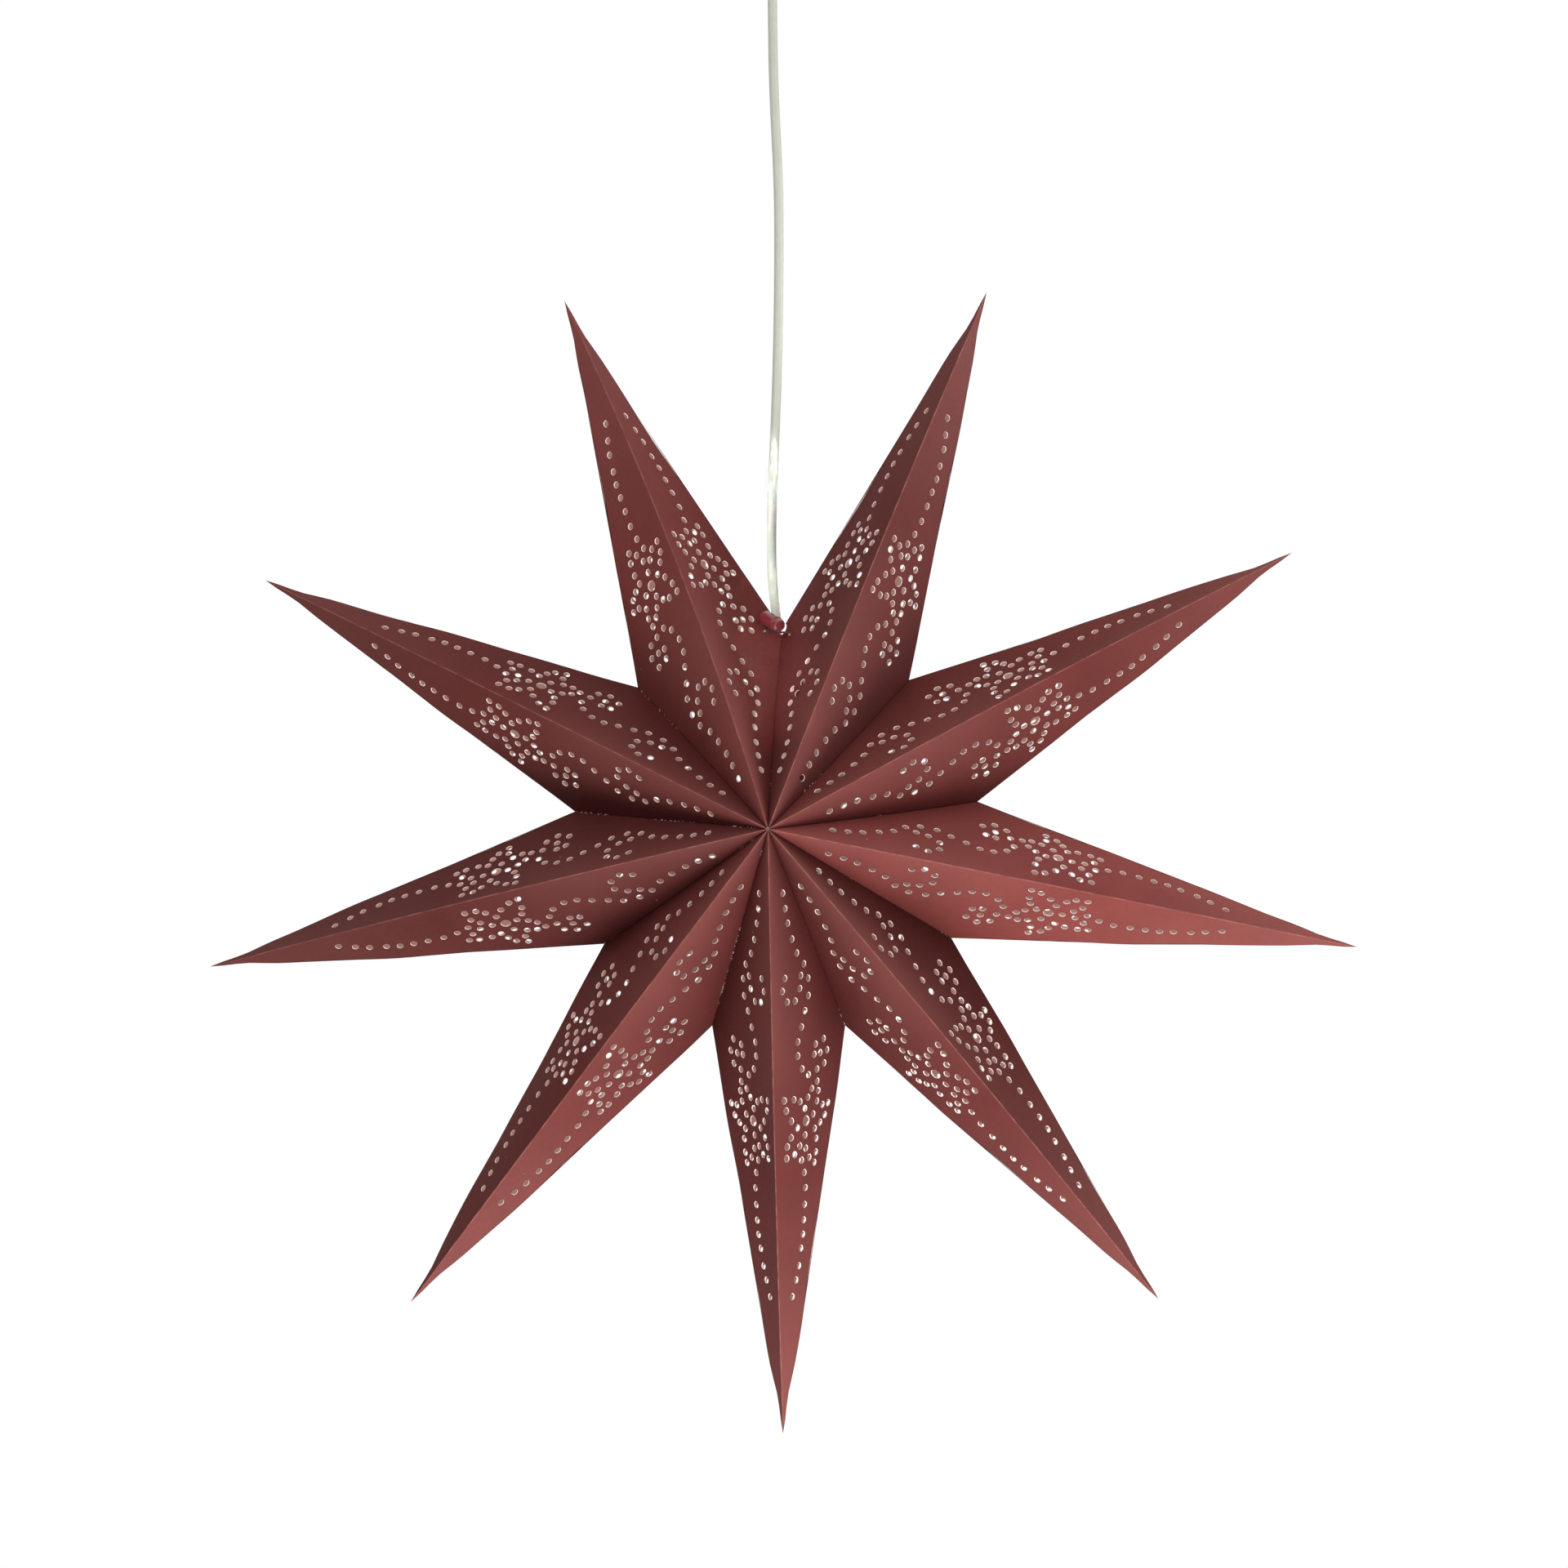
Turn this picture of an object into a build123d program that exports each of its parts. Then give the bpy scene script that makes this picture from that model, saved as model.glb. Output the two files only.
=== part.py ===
from build123d import *
import math
import os

# A nine-pointed star lantern of folded, punched paper on its electric cord.
# Millimetres, +Z up, the star's face towards -Y. The origin is the middle of the
# ceiling plate's top face; heights in the star and the lamp are measured from the
# star's centre, which hangs star_drop below it.

overrun = 1.0  # how far a cutter passes the face that it cuts
small_sides = 8  # of the cord and of small rounds that nothing shows

# Paper star
arm_count = 9
tip_radius = 320.0  # star centre to a tip
notch_radius = 111.0  # star centre to the valley between two arms
apex_depth = 70.0  # star centre to the front or the back apex
star_drop = 535.0  # ceiling to star centre
seam_azimuth = 90.0  # the open seam is at the top
paper = 0.4
glue_line = 0.05  # half the glue between two flanges
flange_width = 5.0  # glue flange along each seam
apex_hole_radius = 2.2
tuck_gap = 0.3  # a flap's gap to the panels that it lies behind
flap_width = 13.0
flap_start = 32.0  # along the seam, from the apex
flap_end = 104.0

# Punched pattern, in the flat panel: x along the ridge from the apex, y towards the crease
hole_sides = 6
dot_radius = 1.95
hub_radius = 2.95
flower_share = (0.49, 0.385)  # hub, in ridge lengths and notch heights
petal_shares = (  # from the hub
    (0.073, 0.107), (0.056, -0.255), (-0.04, -0.266), (-0.06, 0.169), (-0.018, 0.322),
)

# Cord: its points' places across, in cord radii, and up, in cord lengths
cord_radius = 2.6
cord_shares = (
    (0.0, 0.0), (0.0, 0.054), (-1.23, 0.113), (-0.92, 0.214), (0.31, 0.355),
    (0.92, 0.492), (1.08, 0.619), (0.12, 0.746), (0.0, 0.873), (0.0, 1.0),
)
cord_end_depth = 11.0  # the cord's end, below the ceiling
gland_hold = 2.5  # of the cord's other end in the gland
fillet_run_share = 0.45  # of the shorter run beside a corner
neck_clearance = 0.4

# Ceiling fitting
plate_radius = 30.0
plate_thickness = 2.0
plate_screw_spacing = 46.0
plate_screw_radius = 2.25
wire_entry_radius = 5.0
wire_entry_y = 19.0
cup_radius = 34.0
cup_height = 50.0
cup_wall = 1.6
cup_ceiling_gap = 0.3
cup_shoulder = 9.0
grommet_radius = 6.0
grommet_flange = 1.8
grommet_lip = 1.6
sliding_clearance = 0.1

grip_width = 17.0
grip_height = 22.0
grip_depth = 9.0
grip_jaw_height = 12.0
grip_post_y = 4.4
grip_split = 0.3
bar_depth = 6.0
bar_height = 9.0
grip_screw_spacing = 11.0
grip_screw_radius = 1.5
grip_screw_head = 2.6
grip_screw_head_height = 2.0
grip_screw_length = 11.0
fit_clearance = 0.05

terminal_length = 13.0
terminal_width = 13.0
terminal_height = 10.0
terminal_gap = 14.0
terminal_pole_spacing = 6.0
terminal_screw_radius = 1.3
terminal_screw_length = 4.0
lead_radius = 0.8
lead_sides = 4
lead_pitch = 2.2

# Lampholder
holder_radius = 13.4
holder_wall = 1.5
shell_height = 30.0
cap_height = 16.0
cap_neck_radius = 6.2
gland_drop = 9.5  # the valleys between the arms to the gland's top
gland_height = 17.5
gland_base_radius = 5.6
gland_tip_radius = 3.3
gland_steps = 2
cap_side = 7.0
insert_height = 4.6
insert_depth = 6.0  # below the shell's top
sleeve_radius = 7.9
sleeve_wall = 0.4
sleeve_length = 21.0
contact_width = 4.0
contact_thickness = 0.4
contact_arm = 5.0
contact_screw_radius = 1.5
contact_screw_x = 8.0
contact_screw_head = 1.2

# Bulb
bulb_cap_radius = 6.9
bulb_cap_length = 20.0
bulb_tip_radius = 2.4
bulb_tip_height = 1.5
globe_radius = 16.5
globe_height = 26.4
globe_edge = 5.0
collar_radius = 11.0
collar_height = 11.0

# Cord lock
lock_far_end = Vector(-6.2, -6.0, 12.2)  # closed end of the barrel, from the valley at the top
lock_near_end = Vector(3.3, -21.0, 5.4)  # where it points, button foremost
barrel_radius = 4.0
barrel_length = 15.0
barrel_floor = 1.0
barrel_edge = 0.8
button_radius = 3.3
button_stand_out = 3.6
button_dome = 1.0
button_inner = 5.9  # from the closed end to the button's inner face, at rest
strand_near = 7.6  # drawcord strands, from the closed end
strand_far = 9.0
strand_clearance = 0.1
button_travel = 2.5  # the button's slot is this much longer than the barrel's
string_radius = 0.6
string_sides = 4
string_clearance = 0.4
string_points = (
    (-8.6, -6.6, 3.5), (-10.4, 0.2, 3.3), (-8.2, 6.8, 3.2), (-2.9, 10.6, 3.1), (3.4, 10.4, 3.2),
    (8.6, 6.4, 3.3), (10.5, -0.4, 3.4), (8.3, -7.0, 3.5), (3.2, -11.3, 3.4),
)
strand_start = 2.4  # a strand's end, above the lock's axis
strand_exit = 6.2  # where it turns away, below the axis
spring_wire = 0.4
spring_radius = 2.3
spring_turns = 3
spring_sides = 3

# Worked out from the sizes above
half_pitch = 180.0 / arm_count
arm_pitch = 2 * half_pitch
ridge_length = math.hypot(tip_radius, apex_depth)
seam_length = math.hypot(notch_radius, apex_depth)
notch_along = notch_radius * math.cos(math.radians(half_pitch))
notch_aside = notch_radius * math.sin(math.radians(half_pitch))
notch_run = (tip_radius * notch_along + apex_depth**2) / ridge_length
notch_height = math.sqrt(seam_length**2 - notch_run**2)
neck_radius = cord_radius + neck_clearance
grip_bore = cord_radius + fit_clearance
star_centre = Vector(0, 0, -star_drop)
star_plane = Plane(origin=star_centre, x_dir=(1, 0, 0), z_dir=(0, -1, 0))
top_valley = star_centre + Vector(0, 0, notch_radius)
lock_axis = (lock_near_end - lock_far_end).normalized()
lock_plane = Plane(origin=top_valley + lock_far_end, z_dir=lock_axis)
strand_axis = (lock_axis * lock_axis.Z - Vector(0, 0, 1)).normalized()
# Heights of the lamp and the cord, above the star's centre
gland_top = notch_radius - gland_drop
holder_top = gland_top - gland_height
holder_joint = holder_top - cap_height
holder_bottom = holder_joint - shell_height
insert_bottom = holder_joint - insert_depth
collar_bottom = holder_bottom - collar_height
cord_start = gland_top - gland_hold
cord_length = star_drop - cord_end_depth - cord_start
FRONT, BACK = -1, 1
PANELS = [(facing, side) for facing in (FRONT, BACK) for side in (1, -1)]


def save(piece, name):
    """Label a finished sub-part and write its STEP file."""
    piece.part.label = name
    export_step(piece.part, f"parts/{name}.step")


def panel_plane(facing, side):
    """Outer face of one panel of the arm that points along +X, x along its ridge from the apex."""
    apex = Vector(0, facing * apex_depth, 0)
    tip = Vector(tip_radius, 0, 0)
    notch = Vector(notch_along, 0, side * notch_aside)
    outward = (tip - apex).cross(notch - apex) * (-facing * side)
    return Plane(origin=apex, x_dir=tip - apex, z_dir=outward)


def seam_plane(side):
    """Plane that two neighbouring arms share, its normal away from this arm."""
    turn = math.radians(half_pitch)
    along = Vector(math.cos(turn), 0, side * math.sin(turn))
    return Plane(origin=(0, 0, 0), x_dir=along, z_dir=(-math.sin(turn), 0, side * math.cos(turn)))


def wedge(inset, closed):
    """Space between an arm's four panels moved in by inset, stopped at the seams if closed."""
    with BuildPart() as block:
        Box(2 * tip_radius, 2 * apex_depth, 2 * notch_radius)
        for facing, side in PANELS:
            split(bisect_by=panel_plane(facing, side).offset(-inset), keep=Keep.BOTTOM)
        if closed:
            for side in (1, -1):
                split(bisect_by=seam_plane(side).offset(-glue_line), keep=Keep.BOTTOM)
    return block.part


def punch_points(shares):
    """Shares of the ridge's length and of the notch's height, as places in the flat panel."""
    return [(along * ridge_length, up * notch_height) for along, up in shares]


def folded_arm(glued_sides):
    """One arm along +X: four panels, glue flanges on glued_sides, and its punched holes."""
    paper_wedge = wedge(0, True)
    air = wedge(paper, False)
    hub = punch_points([flower_share])
    centre_along, centre_up = flower_share
    petals = punch_points([(centre_along + along, centre_up + up) for along, up in petal_shares])
    with BuildPart() as arm:
        add(paper_wedge)
        add(air, mode=Mode.SUBTRACT)
        for side in glued_sides:
            edge = paper / 2
            with BuildSketch(seam_plane(side).offset(-glue_line)):
                outer = [(0, apex_depth - edge * seam_length / notch_radius)]
                outer.append((notch_radius - edge * seam_length / apex_depth, 0))
                inner = [(notch_radius - flange_width * seam_length / apex_depth, 0)]
                inner.append((0, apex_depth - flange_width * seam_length / notch_radius))
                strip = [outer[0], outer[1], (outer[0][0], -outer[0][1])]
                strip += [(inner[1][0], -inner[1][1]), inner[0], inner[1]]
                Polygon(*strip, align=None)
            extrude(amount=-paper)
        for facing, side in PANELS:
            mirrored = -facing * side
            with BuildSketch(panel_plane(facing, side)):
                with Locations(*[(x, mirrored * y) for x, y in hub]):
                    RegularPolygon(radius=hub_radius, side_count=hole_sides)
                with Locations(*[(x, mirrored * y) for x, y in petals]):
                    RegularPolygon(radius=dot_radius, side_count=hole_sides)
            extrude(amount=2 * paper, both=True, mode=Mode.SUBTRACT)
        with BuildSketch(Plane.XZ):
            RegularPolygon(radius=apex_hole_radius, side_count=small_sides)
        extrude(amount=apex_depth + overrun, both=True, mode=Mode.SUBTRACT)
    return arm.part


def tube_path(points):
    """Straight runs with one tangent arc at each corner, each as large as its runs allow."""
    radii = []
    for before, corner, after in zip(points, points[1:], points[2:]):
        turn = math.radians((corner - before).get_angle(after - corner))
        shorter = min((corner - before).length, (after - corner).length)
        radii.append(fillet_run_share * shorter / math.tan(turn / 2))
    return FilletPolyline(*points, radius=radii), radii


def report_tube(name, piece, line, section):
    """Print a tube's length and how its volume compares with section times length."""
    share = piece.part.volume / (section * line.length)
    print(f"{name}: length {line.length:.1f}, volume over section times length {share:.4f}")


# Drawcord: a loop round the neck, through both end arms' panels, both ends in the cord lock
strand_places = [lock_plane.origin + lock_axis * along for along in (strand_near, strand_far)]
loop_points = [top_valley + Vector(*p) for p in string_points]
string_route = [strand_places[0] - strand_axis * strand_start, strand_places[0] + strand_axis * strand_exit]
string_route += loop_points
string_route += [strand_places[1] + strand_axis * strand_exit, strand_places[1] - strand_axis * strand_start]

with BuildPart() as drawcord:
    with BuildLine():
        string_path, string_radii = tube_path(string_route)
    with BuildSketch(Plane(origin=string_path @ 0, z_dir=string_path % 0)) as string_section:
        RegularPolygon(radius=string_radius, side_count=string_sides)
    sweep(path=string_path)
print("drawcord radii", [round(r, 1) for r in string_radii])
report_tube("drawcord", drawcord, string_path, string_section.sketch.area)
save(drawcord, "drawcord")

with BuildPart() as string_tunnel:
    with BuildSketch(Plane(origin=string_path @ 0, z_dir=string_path % 0)):
        RegularPolygon(radius=string_radius + string_clearance, side_count=string_sides)
    sweep(path=string_path)

# Arms, numbered clockwise from the open seam
full_arm = folded_arm((1, -1))
end_arms = {1: folded_arm((-1,)), arm_count: folded_arm((1,))}
for number in range(1, arm_count + 1):
    azimuth = seam_azimuth + half_pitch - arm_pitch * number
    with BuildPart() as arm:
        with Locations(star_centre):
            add(end_arms.get(number, full_arm), rotation=(0, -azimuth, 0))
        if number in end_arms:
            with BuildSketch(Plane.XY.offset(-star_drop + holder_top)):
                RegularPolygon(radius=neck_radius, side_count=small_sides)
            extrude(amount=notch_radius, mode=Mode.SUBTRACT)
            add(string_tunnel.part, mode=Mode.SUBTRACT)
    save(arm, f"arm_{number}")

# Closing flaps: a folded strip behind the open seam, half behind each end arm
first_azimuth = math.radians(seam_azimuth - half_pitch)
first_tip = Vector(tip_radius * math.cos(first_azimuth), 0, tip_radius * math.sin(first_azimuth))
for facing, name in ((FRONT, "closing_flap_front"), (BACK, "closing_flap_back")):
    apex = Vector(0, facing * apex_depth, 0)
    seam = (Vector(0, 0, notch_radius) - apex).normalized()
    across = first_tip - apex
    rise = math.acos((across - seam * across.dot(seam)).normalized().X)
    near = paper + tuck_gap
    far = near + paper
    half_outline = [
        (0, -near / math.cos(rise)),
        (flap_width * math.cos(rise) + near * math.sin(rise), flap_width * math.sin(rise) - near * math.cos(rise)),
        (flap_width * math.cos(rise) + far * math.sin(rise), flap_width * math.sin(rise) - far * math.cos(rise)),
        (0, -far / math.cos(rise)),
    ]
    outline = [(x, facing * y) for x, y in half_outline]
    outline += [(-x, y) for x, y in reversed(outline[1:3])]
    with BuildPart() as closing_flap:
        with BuildSketch(Plane(origin=star_centre + apex + seam * flap_start, x_dir=(1, 0, 0), z_dir=seam)):
            Polygon(*outline, align=None)
        extrude(amount=flap_end - flap_start)
    save(closing_flap, name)

# Electric cord, from the lampholder's gland to the grip under the ceiling plate
cord_route = [Vector(across * cord_radius, 0, cord_start + up * cord_length) for across, up in cord_shares]
cord_route = [star_centre + point for point in cord_route]
with BuildPart() as power_cord:
    with BuildLine():
        cord_path, cord_radii = tube_path(cord_route)
    with BuildSketch(Plane(origin=cord_path @ 0, z_dir=cord_path % 0)) as cord_section:
        RegularPolygon(radius=cord_radius, side_count=small_sides)
    sweep(path=cord_path)
print("power cord radii", [round(r, 1) for r in cord_radii])
report_tube("power_cord", power_cord, cord_path, cord_section.sketch.area)
save(power_cord, "power_cord")

# Ceiling plate: a steel disc with two screw holes and the wires' entry
with BuildPart() as ceiling_plate:
    with BuildSketch(Plane.XY):
        Circle(plate_radius)
        with GridLocations(plate_screw_spacing, 0, 2, 1):
            Circle(plate_screw_radius, mode=Mode.SUBTRACT)
        with Locations((0, wire_entry_y)):
            Circle(wire_entry_radius, mode=Mode.SUBTRACT)
    extrude(amount=-plate_thickness)
save(ceiling_plate, "ceiling_plate")


def cup_space(inset):
    """The cup's outer form moved in by inset: a straight skirt and a slanted shoulder."""
    with BuildPart() as form:
        with BuildSketch(Plane.XY.offset(-cup_height + inset)):
            Circle(cup_radius - inset)
        extrude(amount=cup_height - inset - cup_ceiling_gap)
        chamfer(form.faces().sort_by(Axis.Z)[0].edges(), length=cup_shoulder)
    return form.part


# Ceiling cup: hides the grip and the terminals, and slides down the cord
cup_outside = cup_space(0)
cup_inside = cup_space(cup_wall)
with BuildPart() as ceiling_cup:
    add(cup_outside)
    add(cup_inside, mode=Mode.SUBTRACT)
    with BuildSketch(Plane.XY.offset(-cup_height - overrun)):
        Circle(grommet_radius + sliding_clearance)
    extrude(amount=cup_height / 2, mode=Mode.SUBTRACT)
save(ceiling_cup, "ceiling_cup")

with BuildPart() as cup_grommet:
    with BuildSketch(Plane.XY.offset(-cup_height - grommet_lip - fit_clearance)):
        Circle(grommet_radius + grommet_flange)
    extrude(amount=grommet_lip)
    with BuildSketch(Plane.XY.offset(-cup_height - grommet_lip - fit_clearance)):
        Circle(grommet_radius)
    extrude(amount=cup_wall + 2 * grommet_lip)
    with BuildSketch(Plane.XY.offset(-cup_height - grommet_lip - overrun)):
        Circle(cord_radius + sliding_clearance)
    extrude(amount=cup_height, mode=Mode.SUBTRACT)
save(cup_grommet, "cup_grommet")

# Cord grip: a base that hangs from the plate and a bar that two screws draw onto the cord
grip_top = -plate_thickness
jaw_top = grip_top - grip_height + grip_jaw_height
grip_screw_z = grip_top - grip_height + grip_jaw_height / 2
with BuildPart() as cord_grip_base:
    with BuildSketch(Plane.XY.offset(grip_top)):
        with Locations((0, grip_post_y)):
            Rectangle(grip_width, grip_depth - grip_post_y, align=(Align.CENTER, Align.MIN))
    extrude(amount=-grip_height)
    with BuildSketch(Plane.XY.offset(jaw_top)):
        with Locations((0, grip_split)):
            Rectangle(grip_width, grip_depth - grip_split, align=(Align.CENTER, Align.MIN))
    extrude(amount=-grip_jaw_height)
    with BuildSketch(Plane.XY):
        Circle(grip_bore)
    extrude(amount=-cup_height, mode=Mode.SUBTRACT)
    with BuildSketch(Plane.XZ.offset(-grip_depth)):
        with Locations((0, grip_screw_z)):
            with GridLocations(grip_screw_spacing, 0, 2, 1):
                RegularPolygon(radius=grip_screw_radius + fit_clearance, side_count=small_sides)
    extrude(amount=grip_depth, mode=Mode.SUBTRACT)
save(cord_grip_base, "cord_grip_base")

with BuildPart() as cord_grip_bar:
    with BuildSketch(Plane.XZ.offset(grip_split)):
        with Locations((0, grip_screw_z)):
            Rectangle(grip_width, bar_height)
            with GridLocations(grip_screw_spacing, 0, 2, 1):
                RegularPolygon(
                    radius=grip_screw_radius + fit_clearance, side_count=small_sides, mode=Mode.SUBTRACT
                )
    extrude(amount=bar_depth)
    with BuildSketch(Plane.XY):
        Circle(grip_bore)
    extrude(amount=-cup_height, mode=Mode.SUBTRACT)
save(cord_grip_bar, "cord_grip_bar")

with BuildPart() as grip_screws:
    with BuildSketch(Plane.XZ.offset(grip_split + bar_depth)):
        with Locations((0, grip_screw_z)):
            with GridLocations(grip_screw_spacing, 0, 2, 1):
                RegularPolygon(radius=grip_screw_head, side_count=small_sides)
    extrude(amount=grip_screw_head_height)
    with BuildSketch(Plane.XZ.offset(grip_split + bar_depth)):
        with Locations((0, grip_screw_z)):
            with GridLocations(grip_screw_spacing, 0, 2, 1):
                RegularPolygon(radius=grip_screw_radius, side_count=small_sides)
    extrude(amount=-grip_screw_length)
save(grip_screws, "grip_screws")

# Terminal block beside the grip, one pole for each lead
terminal_face = terminal_gap
terminal_middle = terminal_gap + terminal_length / 2
with BuildPart() as terminal_block:
    with BuildSketch(Plane.XY.offset(grip_top)):
        with Locations((terminal_middle, 0)):
            Rectangle(terminal_length, terminal_width)
    extrude(amount=-terminal_height)
    with BuildSketch(Plane.YZ.offset(terminal_face)):
        with Locations((0, grip_top - terminal_height / 2)):
            with GridLocations(terminal_pole_spacing, 0, 2, 1):
                Circle(lead_radius + fit_clearance)
    extrude(amount=terminal_length / 3, mode=Mode.SUBTRACT)
    with BuildSketch(Plane.XY.offset(grip_top - terminal_height)):
        with Locations((terminal_middle, 0)):
            with GridLocations(0, terminal_pole_spacing, 1, 2):
                RegularPolygon(radius=terminal_screw_radius + fit_clearance, side_count=small_sides)
    extrude(amount=terminal_screw_length, mode=Mode.SUBTRACT)
save(terminal_block, "terminal_block")

with BuildPart() as terminal_screws:
    with BuildSketch(Plane.XY.offset(grip_top - terminal_height)):
        with Locations((terminal_middle, 0)):
            with GridLocations(0, terminal_pole_spacing, 1, 2):
                RegularPolygon(radius=terminal_screw_radius, side_count=small_sides)
    extrude(amount=terminal_screw_length - fit_clearance)
save(terminal_screws, "terminal_screws")

# Two leads from the cord's end to the terminals
lead_z = grip_top - terminal_height / 2
with BuildPart() as cord_leads:
    for hand in (-1, 1):
        start = Vector(0, hand * lead_pitch / 2, -cord_end_depth)
        rise = Vector(0, hand * lead_pitch / 2, lead_z)
        finish = Vector(terminal_face + terminal_length / 4, hand * terminal_pole_spacing / 2, lead_z)
        spread = Vector(terminal_gap / 2, hand * terminal_pole_spacing / 2, lead_z)
        with BuildLine():
            lead_path, lead_radii = tube_path([start, rise, spread, finish])
        with BuildSketch(Plane(origin=lead_path @ 0, z_dir=lead_path % 0)):
            RegularPolygon(radius=lead_radius, side_count=lead_sides)
        sweep(path=lead_path)
        print("lead radii", [round(r, 1) for r in lead_radii])
save(cord_leads, "cord_leads")

# Lampholder gland: an eight-sided nut and a nozzle where the cord goes in
step_height = gland_height / gland_steps
step_inset = (gland_base_radius - gland_tip_radius) / (gland_steps - 1)
with BuildPart() as holder_gland:
    for step in range(gland_steps):
        with BuildSketch(Plane.XY.offset(holder_top + step * step_height - star_drop)):
            RegularPolygon(radius=gland_base_radius - step * step_inset, side_count=small_sides)
            Circle(grip_bore, mode=Mode.SUBTRACT)
        extrude(amount=step_height)
save(holder_gland, "holder_gland")

# Lampholder cap: stands on the shell, and its side draws in to the gland
with BuildPart() as holder_cap:
    with BuildSketch(star_plane):
        with BuildLine():
            Polyline(
                (holder_radius, holder_joint),
                (holder_radius, holder_joint + cap_side),
                (cap_neck_radius, holder_top),
                (grip_bore, holder_top),
                (grip_bore, holder_joint),
                close=True,
            )
        make_face()
    revolve(axis=Axis.Z)
save(holder_cap, "holder_cap")

with BuildPart() as holder_shell:
    with BuildSketch(Plane.XY.offset(holder_bottom - star_drop)):
        Circle(holder_radius)
        Circle(holder_radius - holder_wall, mode=Mode.SUBTRACT)
    extrude(amount=shell_height)
save(holder_shell, "holder_shell")

with BuildPart() as holder_insert:
    with BuildSketch(Plane.XY.offset(insert_bottom - star_drop)):
        Circle(holder_radius - holder_wall - fit_clearance)
    extrude(amount=insert_height)
    with BuildSketch(Plane.XY.offset(insert_bottom - star_drop)):
        with GridLocations(2 * contact_screw_x, 0, 2, 1):
            RegularPolygon(radius=contact_screw_radius + fit_clearance, side_count=small_sides)
    extrude(amount=insert_height, mode=Mode.SUBTRACT)
save(holder_insert, "holder_insert")

with BuildPart() as contact_screws:
    with BuildSketch(Plane.XY.offset(insert_bottom - star_drop)):
        with GridLocations(2 * contact_screw_x, 0, 2, 1):
            RegularPolygon(radius=contact_screw_radius, side_count=small_sides)
    extrude(amount=insert_height + contact_screw_head)
save(contact_screws, "contact_screws")

sleeve_top = insert_bottom - fit_clearance
with BuildPart() as thread_sleeve:
    with BuildSketch(Plane.XY.offset(sleeve_top - star_drop)):
        Circle(sleeve_radius)
        Circle(sleeve_radius - sleeve_wall, mode=Mode.SUBTRACT)
    extrude(amount=-sleeve_length)
save(thread_sleeve, "thread_sleeve")

bulb_cap_top = holder_bottom + bulb_cap_length
bulb_tip_top = bulb_cap_top + bulb_tip_height
with BuildPart() as centre_contact:
    with BuildSketch(star_plane):
        with BuildLine():
            seat = insert_bottom - fit_clearance
            Polyline((-contact_arm, seat), (contact_arm / 2, seat), (0, bulb_tip_top + fit_clearance))
            offset(amount=contact_thickness / 2, side=Side.BOTH, kind=Kind.INTERSECTION)
        make_face()
    extrude(amount=contact_width / 2, both=True)
    split(bisect_by=Plane.XY.offset(seat - star_drop), keep=Keep.BOTTOM)
    split(bisect_by=Plane.XY.offset(bulb_tip_top + fit_clearance - star_drop), keep=Keep.TOP)
save(centre_contact, "centre_contact")

side_top = insert_bottom - fit_clearance
side_radius = sleeve_radius + fit_clearance
with BuildPart() as side_contact:
    with BuildSketch(Plane.XY.offset(side_top - star_drop)):
        with Locations((side_radius, 0)):
            Rectangle(contact_arm / 4, contact_width, align=(Align.MIN, Align.CENTER))
    extrude(amount=-contact_thickness)
    with BuildSketch(Plane.XY.offset(side_top - star_drop)):
        with Locations((side_radius, 0)):
            Rectangle(contact_thickness, contact_width, align=(Align.MIN, Align.CENTER))
    extrude(amount=-sleeve_length / 2)
save(side_contact, "side_contact")

# Bulb: screw cap, contact tip, collar and a straight-sided opal globe
with BuildPart() as bulb_cap:
    with BuildSketch(star_plane):
        with BuildLine():
            Polyline(
                (0, holder_bottom),
                (bulb_cap_radius, holder_bottom),
                (bulb_cap_radius, bulb_cap_top - bulb_tip_radius),
                (bulb_tip_radius, bulb_cap_top),
                (0, bulb_cap_top),
                close=True,
            )
        make_face()
    revolve(axis=Axis.Z)
save(bulb_cap, "bulb_cap")

with BuildPart() as bulb_tip:
    with BuildSketch(Plane.XY.offset(bulb_cap_top - star_drop)):
        RegularPolygon(radius=bulb_tip_radius, side_count=small_sides)
    extrude(amount=bulb_tip_height)
save(bulb_tip, "bulb_tip")

with BuildPart() as bulb_collar:
    with BuildSketch(Plane.XY.offset(holder_bottom - star_drop)):
        Circle(collar_radius)
    extrude(amount=-collar_height)
save(bulb_collar, "bulb_collar")

with BuildPart() as bulb_globe:
    with BuildSketch(Plane.XY.offset(collar_bottom - star_drop)):
        Circle(globe_radius)
    extrude(amount=-globe_height)
    chamfer(bulb_globe.faces().sort_by(Axis.Z)[0].edges(), length=globe_edge)
save(bulb_globe, "bulb_globe")

# Cord lock: barrel, sprung button, spring; the drawcord's two strands cross it
strand_cut = string_radius + strand_clearance
slot_start = strand_near - strand_cut
barrel_slot = strand_far + strand_cut - slot_start
button_slot = barrel_slot + button_travel
cross_plane = Plane(origin=lock_plane.origin, x_dir=lock_axis, z_dir=strand_axis)


def cross_slot(length):
    """Cutter for a slot across the lock, from slot_start along its axis."""
    with BuildPart() as cutter:
        with BuildSketch(cross_plane):
            with Locations((slot_start + length / 2, 0)):
                Rectangle(length, 2 * strand_cut)
        extrude(amount=barrel_radius + overrun, both=True)
    return cutter.part


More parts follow.
